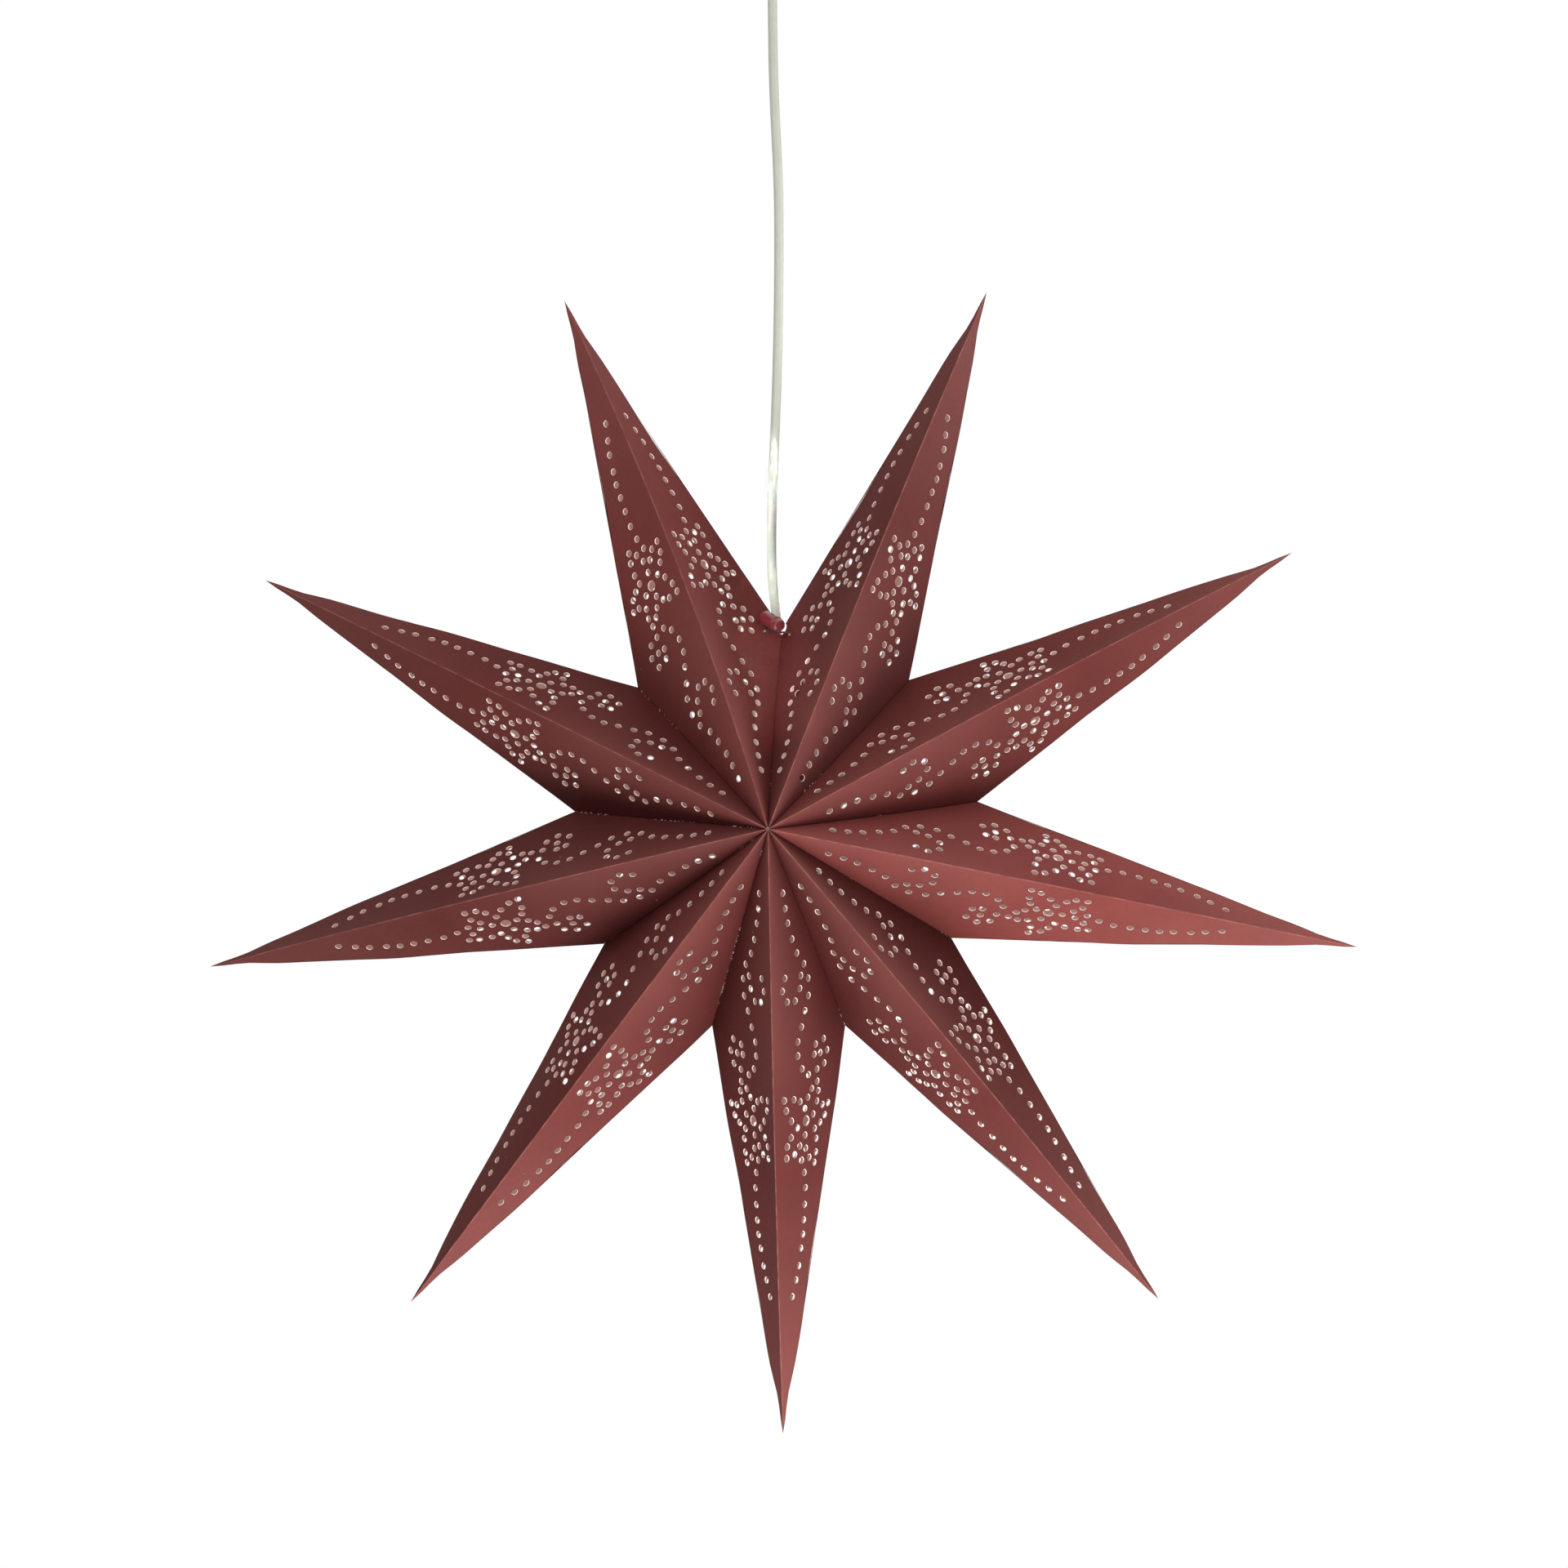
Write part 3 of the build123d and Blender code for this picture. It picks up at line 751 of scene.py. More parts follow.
def rounded(corners: Sequence[tuple[float, float, float]], steps: int = 6) -> Array:
    """A closed outline with round corners.

    Formula: at a corner of radius r that turns by t, an arc of that radius starts and ends
    r tan(t / 2) from the corner.

    Args:
        corners: Each corner's radius from the axis, its height and its rounding, in millimetres.
        steps: Points along each arc.

    Returns:
        The outline's points, radius and height.
    """
    places = np.array([corner[:2] for corner in corners])
    outline = []
    neighbours = zip(np.roll(places, 1, 0), places, np.roll(places, -1, 0), corners)
    for before, place, after, (*_, radius) in neighbours:
        if radius == 0:
            outline.append(place[None])
            continue
        back, ahead = before - place, after - place
        back, ahead = back / np.linalg.norm(back), ahead / np.linalg.norm(ahead)
        half = math.acos(float(np.clip(back @ ahead, -1, 1))) / 2
        bisector = (back + ahead) / np.linalg.norm(back + ahead)
        middle = place + bisector * radius / math.sin(half)
        start = place + back * radius / math.tan(half) - middle
        end = place + ahead * radius / math.tan(half) - middle
        share = np.linspace(0, 1, steps)[:, None]
        sweep = math.pi - 2 * half
        fan = np.sin((1 - share) * sweep) * start + np.sin(share * sweep) * end
        outline.append(middle + fan / math.sin(sweep))
    return np.concatenate(outline)


def turned(outline: Array, base: float, steps: int = 96, ripple: Array | None = None) -> Surface:
    """An outline carried round the lamp's axis, which is upright.

    Formula: a point at radius r and height h goes to (-r sin u, r cos u, base + h).

    Args:
        outline: Radius and height of each point, closed, running so that the faces point outwards.
        base: Where height 0 is, in millimetres.
        steps: Points round the axis.
        ripple: Added to the radius at each step and outline point, if given.

    Returns:
        The closed surface.
    """
    u = np.linspace(0, 2 * np.pi, steps, endpoint=False)[:, None]
    radius = np.broadcast_to(outline[:, 0] + (0 if ripple is None else ripple), (steps, len(outline)))
    height = np.broadcast_to(base + outline[:, 1], radius.shape)
    points = np.stack([-np.sin(u) * radius, np.cos(u) * radius, height], axis=-1)
    faces = grid_faces(steps, len(outline), True, True)
    return Surface(points.reshape(-1, 3), faces).welded()


def lay_spline(data: bpy.types.Curve, route: Array) -> None:
    """Put one smooth spline on a curve, with a route's points as its control points.

    Args:
        data: The curve.
        route: The points, in millimetres.
    """
    data.dimensions = "3D"
    spline = data.splines.new("NURBS")
    spline.points.add(len(route) - 1)
    for point, place in zip(spline.points, route * MM):
        point.co = (*place, 1.0)
    spline.order_u = 3
    spline.use_endpoint_u = True


def spline_points(route: Array, resolution: int) -> Array:
    """Points along a route's smooth spline, as the curve itself gives them.

    Args:
        route: The spline's control points, in millimetres.
        resolution: Points to each control point.

    Returns:
        The points, in millimetres.
    """
    data = bpy.data.curves.new("route", "CURVE")
    data.resolution_u = resolution
    lay_spline(data, route)
    curve = bpy.data.objects.new("route", data)
    line = bpy.data.meshes.new_from_object(curve)
    points = np.empty(len(line.vertices) * 3)
    line.vertices.foreach_get("co", points)
    bpy.data.objects.remove(curve)
    bpy.data.curves.remove(data)
    bpy.data.meshes.remove(line)
    return points.reshape(-1, 3) / MM


def carried(
    path: Array, radius: float, sides: int, strands: int = 0, lay: float = 1.0, depth: float = 0.0
) -> Surface:
    """A wire or a twisted string: a round section with strands carried along a path.

    Formula: at angle u and length s the radius is
    r (1 - depth (1 - cos(strands (u - 2 pi s / lay))) / 2).

    Args:
        path: Points of the centreline, in millimetres.
        radius: Outer radius.
        sides: Points round the section.
        strands: Strands in the section; 0 makes it plain.
        lay: Length of one turn of the strands.
        depth: Depth of the grooves as a share of the radius.

    Returns:
        The tube, closed at both ends.
    """
    tangent = np.gradient(path, axis=0)
    tangent /= np.linalg.norm(tangent, axis=1, keepdims=True)
    upright = abs(tangent[len(path) // 2, 2]) >= 0.9
    side = np.cross(tangent, [1.0, 0.0, 0.0] if upright else UP)
    side /= np.linalg.norm(side, axis=1, keepdims=True)
    third = np.cross(tangent, side)
    steps = np.linalg.norm(np.diff(path, axis=0), axis=1)
    length = np.concatenate([[0], np.cumsum(steps)])[:, None, None]
    u = np.linspace(0, 2 * np.pi, sides, endpoint=False)[None, :, None]
    groove = (1 - np.cos(strands * (u - 2 * np.pi * length / lay))) / 2
    section = radius * (1 - depth * groove)
    points = path[:, None] + section * (np.cos(u) * side[:, None] + np.sin(u) * third[:, None])
    last = (len(path) - 1) * sides
    faces = grid_faces(len(path), sides, wrap_columns=True)
    faces += [list(range(sides))[::-1], list(range(last, last + sides))]
    numbers = {"strand": (1 - groove).ravel()}
    return Surface(points.reshape(-1, 3), [face[::-1] for face in faces], numbers)


# ---------------------------------------------------------------- the paper star


class Facing(Enum):
    """Which half of an arm a panel is in."""

    FRONT = -1
    BACK = 1


@dataclass(frozen=True)
class PunchedPattern:
    """The holes of one panel laid flat: x along the ridge from the apex, y up to the valley, in mm."""

    dot: float = 1.95
    hub: float = 2.95
    sides: int = 14
    margin: float = 0.42
    vine: tuple[tuple[float, float], ...] = (
        (35.5, 10.0), (44.0, 11.3), (52.0, 13.0), (61.0, 16.0), (69.0, 19.5), (75.7, 25.0),
        (84.0, 28.0), (93.3, 27.7), (101.0, 24.5), (109.4, 21.5), (117.0, 18.5), (124.6, 18.1),
        (132.0, 21.0), (136.0, 26.0),
    )
    ridge_curl: tuple[tuple[float, float], ...] = (
        (81.6, 22.2), (88.4, 21.1), (94.7, 17.3), (94.5, 11.3), (88.3, 7.9), (81.5, 9.9),
    )
    valley_curl: tuple[tuple[float, float], ...] = (
        (134.3, 33.1), (125.9, 31.0), (120.6, 32.3), (119.0, 39.3), (125.8, 42.1), (132.3, 39.3),
        (126.0, 36.1),
    )
    flower_heart: tuple[float, float] = (160.5, 23.0)
    flower: tuple[tuple[float, float], ...] = (
        (158.0, 29.3), (166.1, 30.4), (168.1, 21.9), (163.3, 15.9), (153.7, 22.4),
        (151.6, 32.7), (154.5, 37.4), (154.6, 42.2), (160.5, 39.2), (163.7, 35.2),
        (171.8, 31.5), (179.0, 30.9), (184.4, 29.4), (180.7, 25.1), (175.3, 22.3),
        (173.3, 17.5), (177.4, 13.5), (178.9, 7.8), (172.5, 8.3), (167.9, 11.1),
        (159.0, 11.6), (153.0, 8.2), (147.4, 7.1), (147.6, 13.9), (149.4, 18.6),
        (148.1, 25.1), (144.0, 28.4), (140.9, 33.1), (146.2, 34.0),
    )
    tip_vine: tuple[tuple[float, float], ...] = (
        (181.2, 18.7), (188.3, 20.8), (196.7, 21.7), (205.8, 21.1), (214.1, 20.4), (221.8, 19.6),
        (229.1, 17.8), (238.3, 15.6), (245.6, 12.8), (254.2, 9.3),
    )

    def holes(self) -> Array:
        """Every hole's x, y and radius."""
        dots = self.vine + self.ridge_curl + self.valley_curl + self.flower + self.tip_vine
        return np.array([(x, y, self.dot) for x, y in dots] + [(*self.flower_heart, self.hub)])


@dataclass
class Panel:
    """One of an arm's four panels; side is 1 anticlockwise of its ridge and -1 clockwise of it."""

    shape: StarShape
    arm: int
    facing: Facing
    side: int

    def __post_init__(self) -> None:
        """Work out the panel's corners and directions."""
        self.azimuth = self.shape.azimuth(self.arm)
        self.valley_number = (self.arm - 1 if self.side > 0 else self.arm) % self.shape.arms
        self.valley_azimuth = self.azimuth + self.side * self.shape.half_pitch
        self.apex = np.array([0.0, self.facing.value * self.shape.depth, 0.0])
        self.tip = self.shape.tip * self.shape.outwards(self.azimuth)
        self.valley = self.shape.notch * self.shape.outwards(self.valley_azimuth)
        self.along = self.shape.outwards(self.azimuth)
        self.aside = self.shape.round_about(self.azimuth)
        outward = np.cross(self.tip - self.apex, self.valley - self.apex)
        self.turned_over = (self.facing is Facing.FRONT) != (self.side > 0)
        self.normal = outward / np.linalg.norm(outward) * (-1 if self.turned_over else 1)

    def outward_faces(self, faces: list[list[int]]) -> list[list[int]]:
        """Faces of the flat panel turned so that they point out of the star."""
        return [face[::-1] for face in faces] if self.turned_over else faces

    @property
    def valley_error(self) -> Array:
        """How far this panel's valley is from its true place.

        Returns:
            The vector in millimetres.
        """
        out, turn = self.shape.notch_errors[self.valley_number]
        azimuth = self.valley_azimuth
        return out * self.shape.outwards(azimuth) + turn * self.shape.round_about(azimuth)

    def shares(self, flat: Array) -> tuple[Array, Array, Array]:
        """The corners' weights at places in the flat panel.

        Args:
            flat: The places.

        Returns:
            Shares of tip, valley and apex, which add up to 1.
        """
        corner = self.shape.corner
        valley = flat[:, 1] / corner[1]
        tip = (flat[:, 0] - valley * corner[0]) / self.shape.ridge
        return tip, valley, 1 - tip - valley

    def folded(self, flat: Array) -> Array:
        """Where the flat panel's points are in the folded star.

        Formula: weights of the three corners, then in turn the pinched tip, the bowed ridge, the
        bowed face, the wavy side crease, the tip's own error, the blunt apex and the valley's own
        error. Each is 0 along the edges that it would otherwise tear from the panel beside it.
        Of the shares, 4 times two and 27 times three are 1 at their greatest.

        Args:
            flat: Places in the flat panel.

        Returns:
            Points in millimetres in the lantern's frame.
        """
        shape, arm, sign = self.shape, self.arm, self.facing.value
        tip, valley, apex = (share[:, None] for share in self.shares(flat))
        points = tip * self.tip + valley * self.valley + apex * self.apex
        # the pinched tip: narrower by a bell curve over the reach
        run = (points @ self.along)[:, None]
        share, place, width = shape.pinch
        pinch = 1 - share * np.exp(-(((run / shape.tip - place) / width) ** 2))
        points = run * self.along + (points - run * self.along) * pinch
        # the bowed ridge: a parabola, greatest halfway between apex and tip
        bow = shape.ridge_bows[arm - 1] * (1.0 if self.facing is Facing.FRONT else shape.back_bow)
        points = points + 4 * tip * apex * bow * self.aside
        # the bowed face: each panel's own swell with crossed ripples, greatest in its middle
        seed = 1.7 * arm + 0.9 * sign + 2.3 * self.side
        ripple = np.prod(np.sin(flat / shape.ripple_run + seed), axis=1)[:, None]
        swell = shape.face_swell * math.sin(seed * 2.1) + shape.face_ripple * ripple
        points = points + 27 * tip * valley * apex * swell * self.normal
        # the wavy side crease: a long and a short wave, greatest halfway along it
        wave = np.sin(9.0 * tip + 1.3 * arm) + 0.5 * np.sin(21.0 * tip + 2.1 * arm + self.side)
        points = points + 4 * tip * valley * shape.crease_wave * wave * self.aside * self.side
        out, turn = shape.tip_errors[arm - 1]
        points = points + tip * (out * self.along + turn * self.aside)
        blunt = shape.depth - shape.apex_blunt
        points[:, 1] = np.clip(points[:, 1], -blunt, blunt)
        return points + valley**2 * self.valley_error + STAR_CENTRE

    def place_of(self, point: Array) -> Array:
        """The flat place over or under a point near the panel, with the valley's error allowed for.

        Args:
            point: The point in the lantern's frame.

        Returns:
            The flat place.
        """
        valley = self.valley + self.valley_error
        edges = np.stack([self.tip - self.apex, valley - self.apex, self.normal], axis=1)
        tip, up, _ = np.linalg.solve(edges, point - STAR_CENTRE - self.apex)
        return np.array([tip * self.shape.ridge, 0.0]) + up * self.shape.corner


@dataclass
class FlatSheet:
    """A flat panel cut into triangles round its holes, in millimetres."""

    shape: StarShape
    holes: Array
    neck_cut: float = 0.0
    apex_cut: float = 1.0
    step: float = 7.5
    first: float = 6.0
    lattice: tuple[float, float] = (8.0, 7.0)
    edge_gap: float = 3.0
    hole_gap: float = 2.0
    smallest_flared: float = 1.5

    def edge(self, start: Array, end: Array) -> Array:
        """Points along one side at about the sheet's step, without the last."""
        count = max(int(np.linalg.norm(end - start) / self.step), 2)
        return start + (end - start) * np.linspace(0, 1, count, endpoint=False)[:, None]

    def corner_arc(self, corner: Array, start: Array, end: Array, radius: float) -> Array:
        """Points of a small arc that cuts a corner off.

        Args:
            corner: The corner.
            start, end: Points on the sides where the arc starts and ends.
            radius: The arc's radius.

        Returns:
            The arc's points.
        """
        first = (start - corner) / np.linalg.norm(start - corner)
        last = (end - corner) / np.linalg.norm(end - corner)
        share = np.linspace(0, 1, 9)[:, None]
        fan = (1 - share) * first + share * last
        return corner + radius * fan / np.linalg.norm(fan, axis=1, keepdims=True)

    def outline(self) -> Array:
        """The sheet's outline, anticlockwise from the apex.

        Returns:
            Its points, with the apex cut off, and at the neck the valley too.
        """
        apex, tip, valley = np.zeros(2), np.array([self.shape.ridge, 0.0]), self.shape.corner
        apex_arc = self.corner_arc(apex, valley, tip, self.apex_cut)
        pieces = [self.edge(apex_arc[-1], tip)]
        if self.neck_cut:
            neck_arc = self.corner_arc(valley, tip, apex, self.neck_cut)
            pieces += [self.edge(tip, neck_arc[0]), neck_arc[:-1]]
            pieces += [self.edge(neck_arc[-1], apex_arc[0])]
        else:
            pieces += [self.edge(tip, valley), self.edge(valley, apex_arc[0])]
        return np.concatenate(pieces + [apex_arc[:-1]])

    def off_holes(self, flat: Array) -> Array:
        """How far places are from each hole's middle: a row a place, a column a hole."""
        return np.linalg.norm(flat[:, None] - self.holes[None, :, :2], axis=2)

    def filling(self) -> Array:
        """Points that fill the sheet in staggered rows.

        Returns:
            The points, clear of the sheet's edges and of its holes.
        """
        corner, ridge = self.shape.corner, self.shape.ridge
        wide, high = self.lattice
        rows, columns = np.arange(high / 2, corner[1], high), np.arange(self.first, ridge, wide)
        x, y = np.meshgrid(columns, rows)
        x = x + wide / 2 * (np.round(y / high) % 2)
        points = np.stack([x.ravel(), y.ravel()], axis=1)
        # twice the triangle's area over its side is the height over that side
        crease = (ridge - points[:, 0]) * corner[1] - points[:, 1] * (ridge - corner[0])
        seam = points[:, 0] * corner[1] - points[:, 1] * corner[0]
        clear = np.minimum(crease / self.shape.crease, seam / self.shape.seam) > self.edge_gap
        gaps = self.off_holes(points) - self.holes[:, 2]
        return points[clear & (gaps.min(axis=1) > self.hole_gap)]

    def paper_only(self, flat: Array, triangles: Array, sides: int) -> Array:
        """The triangles that aren't in a hole or a cut corner, all turned anticlockwise.

        Args:
            flat: The flat points.
            triangles: Every triangle between them.
            sides: Points round each hole.

        Returns:
            The triangles that stay.
        """
        a, b, c = (flat[triangles[:, k]] for k in range(3))
        area = (b[:, 0] - a[:, 0]) * (c[:, 1] - a[:, 1]) - (b[:, 1] - a[:, 1]) * (c[:, 0] - a[:, 0])
        corners = [[*self.shape.corner, self.neck_cut], [0.0, 0.0, self.apex_cut]]
        cuts = np.concatenate([self.holes, corners])
        gap = np.linalg.norm(((a + b + c) / 3)[:, None] - cuts[None, :, :2], axis=2)
        outside = (gap / np.maximum(cuts[:, 2], 1e-9)).min(axis=1) > math.cos(math.pi / sides)
        keep = (np.abs(area) > 1e-4) & outside
        return np.where(area[:, None] > 0, triangles, triangles[:, ::-1])[keep]

    def inwards(self, flat: Array) -> Array:
        """Directions to the hole's middle at points on the edge of a punched hole, and 0 elsewhere.

        Args:
            flat: The flat points.

        Returns:
            A vector of length 1 or 0 for each.
        """
        off_edge = np.abs(self.off_holes(flat) - self.holes[:, 2])
        nearest = self.holes[off_edge.argmin(axis=1)]
        flared = (off_edge.min(axis=1) < 1e-3) & (nearest[:, 2] > self.smallest_flared)
        return flared[:, None] * (nearest[:, :2] - flat) / nearest[:, 2:]

    def cut(self, sides: int, margin: float) -> tuple[Array, Array, Array]:
        """Triangulate the sheet.

        Args:
            sides: Points round each hole.
            margin: Width of the ring of triangles round each hole.

        Returns:
            Flat points, triangles, and the directions of the hole edges.
        """
        outline = self.outline()
        u = np.linspace(0, 2 * np.pi, sides, endpoint=False)
        circle = np.stack([np.cos(u), np.sin(u)], axis=1)
        middles, radii = self.holes[:, None, :2], self.holes[:, None, 2:]
        rings = [(middles + (radii + grown) * circle).reshape(-1, 2) for grown in (0.0, margin)]
        points = np.concatenate([outline, *rings, self.filling()])
        starts = len(outline) + sides * np.arange(2 * len(self.holes))
        ring, rim = np.arange(sides), np.arange(len(outline))
        loops = starts[:, None, None] + np.stack([ring, np.roll(ring, -1)], axis=1)
        edges = np.concatenate([np.stack([rim, np.roll(rim, -1)], axis=1), loops.reshape(-1, 2)])
        result = delaunay_2d_cdt([Vector(p) for p in points], edges.tolist(), [], 0, 1e-5)
        flat = np.array([tuple(p) for p in result[0]])
        return flat, self.paper_only(flat, np.array(result[2]), sides), self.inwards(flat)


@dataclass
class PaperStar:
    """Nine folded arms, and the flaps behind the open seam."""

    shape: StarShape = field(default_factory=StarShape)
    pattern: PunchedPattern = field(default_factory=PunchedPattern)
    base_arm: int = 5
    neck_cut: float = 3.7
    string_hole: float = 1.1
    string_hole_gap: float = 4.5
    lip: float = 0.2
    flange_start: float = 2.2
    flange_gap: float = 0.25
    flap_width: float = 13.0
    flap_reach: tuple[float, float] = (32.0, 104.0)
    flap_gap: float = 0.7
    flattened: float = 0.03
    plain_sheet: tuple[Array, Array, Array] | None = None

    def sheet(self, panel: Panel, string: Array) -> tuple[Array, Array, Array]:
        """The flat mesh of a panel; at the open seam it has the neck's cut and the drawcord's hole.

        Args:
            panel: The panel.
            string: Points along the drawcord.

        Returns:
            Flat points, triangles, and the directions of the hole edges.
        """
        pattern, holes = self.pattern, self.pattern.holes()
        if panel.valley_number != 0:
            if self.plain_sheet is None:
                self.plain_sheet = FlatSheet(self.shape, holes).cut(pattern.sides, pattern.margin)
            return self.plain_sheet
        places = np.array([panel.place_of(point) for point in string])
        heights = (string - STAR_CENTRE - panel.apex) @ panel.normal
        on_panel = (places[:-1, 1] > 0) & (places[:-1, 1] < self.shape.corner[1])
        through = places[:-1][on_panel & (heights[:-1] * heights[1:] < 0)]
        gaps = np.linalg.norm(through[:, None] - holes[None, :, :2], axis=2)
        clear = through[gaps.min(axis=1) > self.string_hole_gap]
        holes = np.concatenate([holes, np.insert(clear, 2, self.string_hole, axis=1)])
        return FlatSheet(self.shape, holes, self.neck_cut).cut(pattern.sides, pattern.margin)

    def flange(self, panel: Panel) -> Surface:
        """The glued strip along a panel's seam, folded into the star.

        Formula: a straight blend from the seam to a line a flange's width inside it, in the plane that
        two arms share, and a hair's breadth on this arm's side of it.

        Args:
            panel: The panel that it is folded from.

        Returns:
            The strip.
        """
        shape, corner = self.shape, self.shape.corner
        share = np.linspace(self.flange_start / shape.seam, 1.0, 19)[:, None]
        inset = 1 - shape.flange * shape.seam / (shape.notch * shape.depth)
        inner = inset * (panel.apex + share * (panel.valley - panel.apex)) + STAR_CENTRE
        inner = inner + share**2 * panel.valley_error
        own_side = -panel.side * shape.round_about(panel.valley_azimuth)
        t = np.linspace(0, 1, 4)[:, None, None]
        points = (1 - t) * panel.folded(share * corner) + t * (inner + self.flange_gap * own_side)
        along, up = np.tile(share * corner, (len(t), 1)).T
        faces = panel.outward_faces(grid_faces(len(t), len(share)))
        return Surface(points.reshape(-1, 3), faces, {"along": along, "up": up})

    def arm(self, number: int, string: Array) -> bpy.types.Object:
        """One arm: four panels and their glue strips, given the paper's thickness.

        Args:
            number: The arm, clockwise from the open seam.
            string: Points along the drawcord.

        Returns:
            The finished arm.
        """
        whole = Surface.empty()
        for facing in Facing:
            for side in (1, -1):
                panel = Panel(self.shape, number, facing, side)
                flat, triangles, inwards = self.sheet(panel, string)
                points = panel.folded(flat)
                lip = panel.folded(flat + self.lip * inwards) - points
                numbers = {"along": flat[:, 0], "up": flat[:, 1]}
                # rim is 1 on the edges of the bigger holes, where the outer paper's finish paints a
                # shadow
                numbers |= {"rim": np.linalg.norm(inwards, axis=1)}
                numbers |= {f"lip_{axis}": lip[:, k] for k, axis in enumerate("xyz")}
                faces = panel.outward_faces(triangles.tolist())
                whole = whole.joined(Surface(points, faces, numbers))
                if panel.valley_number != 0:
                    whole = whole.joined(self.flange(panel))
        # each arm's tone, partly painted light
        whole.numbers["tone"] = np.full(len(whole.points), self.shape.tones_and_painted_light[number - 1])
        piece = whole.welded().piece(f"folded_arm_{number}", FOLD_ANGLE)
        self.thicken(piece, Finish.ARM_PAPER, Finish.PAPER_INSIDE)
        return self.carry(piece, f"arm_{number}", number)

    def carry(self, piece: bpy.types.Object, node: str, arm: int) -> bpy.types.Object:
        """Let a piece stand for a node and ride on an arm's body.

        Args:
            piece: The piece.
            node: The node that it replaces.
            arm: The arm. The base arm is on star_base.

        Returns:
            The same piece.
        """
        base = arm == self.base_arm
        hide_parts(node)
        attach(piece, "star_base" if base else f"star_{arm}")
        across = tuple(self.shape.round_about(self.shape.azimuth(arm)))
        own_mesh(piece)
        return piece

    def thicken(self, piece: bpy.types.Object, outer: Finish, inner: Finish) -> None:
        """Give a folded sheet its thickness, its two sides and its cut edges, all in its own mesh.

        At the inner end of a hole's edge the points move by their lip, which narrows the hole there.

        Args:
            piece: The sheet's outer side.
            outer: The finish of that side.
            inner: The finish of the other side.
        """
        for finish in (outer, inner, Finish.PAPER_CUT):
            piece.data.materials.append(finish.material())
        wall = piece.modifiers.new("paper", "SOLIDIFY")
        wall.thickness = self.shape.paper * MM
        wall.offset = -1.0
        wall.material_offset = 1
        wall.material_offset_rim = 2
        solid = piece.evaluated_get(bpy.context.evaluated_depsgraph_get())
        mesh = bpy.data.meshes.new_from_object(solid)
        points = np.empty((len(mesh.vertices), 3))
        mesh.vertices.foreach_get("co", points.ravel())
        lip, column = np.zeros_like(points), np.empty(len(points), dtype=np.float32)
        for k, axis in enumerate("xyz"):
            layer = mesh.attributes.get(f"lip_{axis}")
            if layer is not None:
                layer.data.foreach_get("value", column)
                lip[:, k] = column
                mesh.attributes.remove(layer)
        # the modifier puts the outer side's points first
        lip[: len(piece.data.vertices)] = 0.0
        mesh.vertices.foreach_set("co", (points + lip * MM).ravel())
        mesh.update()
        mesh.set_sharp_from_angle(angle=math.radians(FOLD_ANGLE))
        piece.data = mesh
        piece.modifiers.clear()

    def closing_flap(self, facing: Facing) -> bpy.types.Object:
        """The folded strip behind the open seam, its undyed side towards the arms.

        Formula: from the seam's line, a wing on each side lies parallel to the panel in front of it,
        the flap's gap behind it.

        Args:
            facing: Front or back flap.

        Returns:
            The finished flap.
        """
        whole, corner = Surface.empty(), self.shape.corner
        start, end = (reach / self.shape.seam for reach in self.flap_reach)
        inwards = np.array([corner[1], -corner[0]]) / self.shape.seam
        share, width = np.meshgrid(np.linspace(start, end, 13), np.linspace(0, self.flap_width, 5))
        flat = share.reshape(-1, 1) * corner + width.reshape(-1, 1) * inwards
        on_seam = width.ravel() == 0
        for number, side in ((1, 1), (self.shape.arms, -1)):
            panel = Panel(self.shape, number, facing, side)
            front = panel.folded(flat)
            points = front - self.flap_gap * panel.normal
            points[on_seam, 0] = front[on_seam, 0]
            faces = panel.outward_faces(grid_faces(*share.shape))
            # a place away from the ridge's wear and highlight and from the painted shade of creases and
            # seams, for the finish of the side with dye
            numbers = {"along": np.full(len(flat), 100.0), "up": np.full(len(flat), 20.0)}
            whole = whole.joined(Surface(points, [face[::-1] for face in faces], numbers))
        name = facing.name.lower()
        piece = whole.welded(0.02).piece(f"seam_flap_{name}", FOLD_ANGLE)
        self.thicken(piece, Finish.PAPER_INSIDE, Finish.ARM_PAPER)
        return self.carry(piece, f"closing_flap_{name}", self.shape.arms)

    def build(self, string: Array) -> list[bpy.types.Object]:
        """All the paper pieces."""
        arms = [self.arm(number, string) for number in range(1, self.shape.arms + 1)]
        return arms + [self.closing_flap(facing) for facing in Facing]


# ---------------------------------------------------------------- cord lock and cords


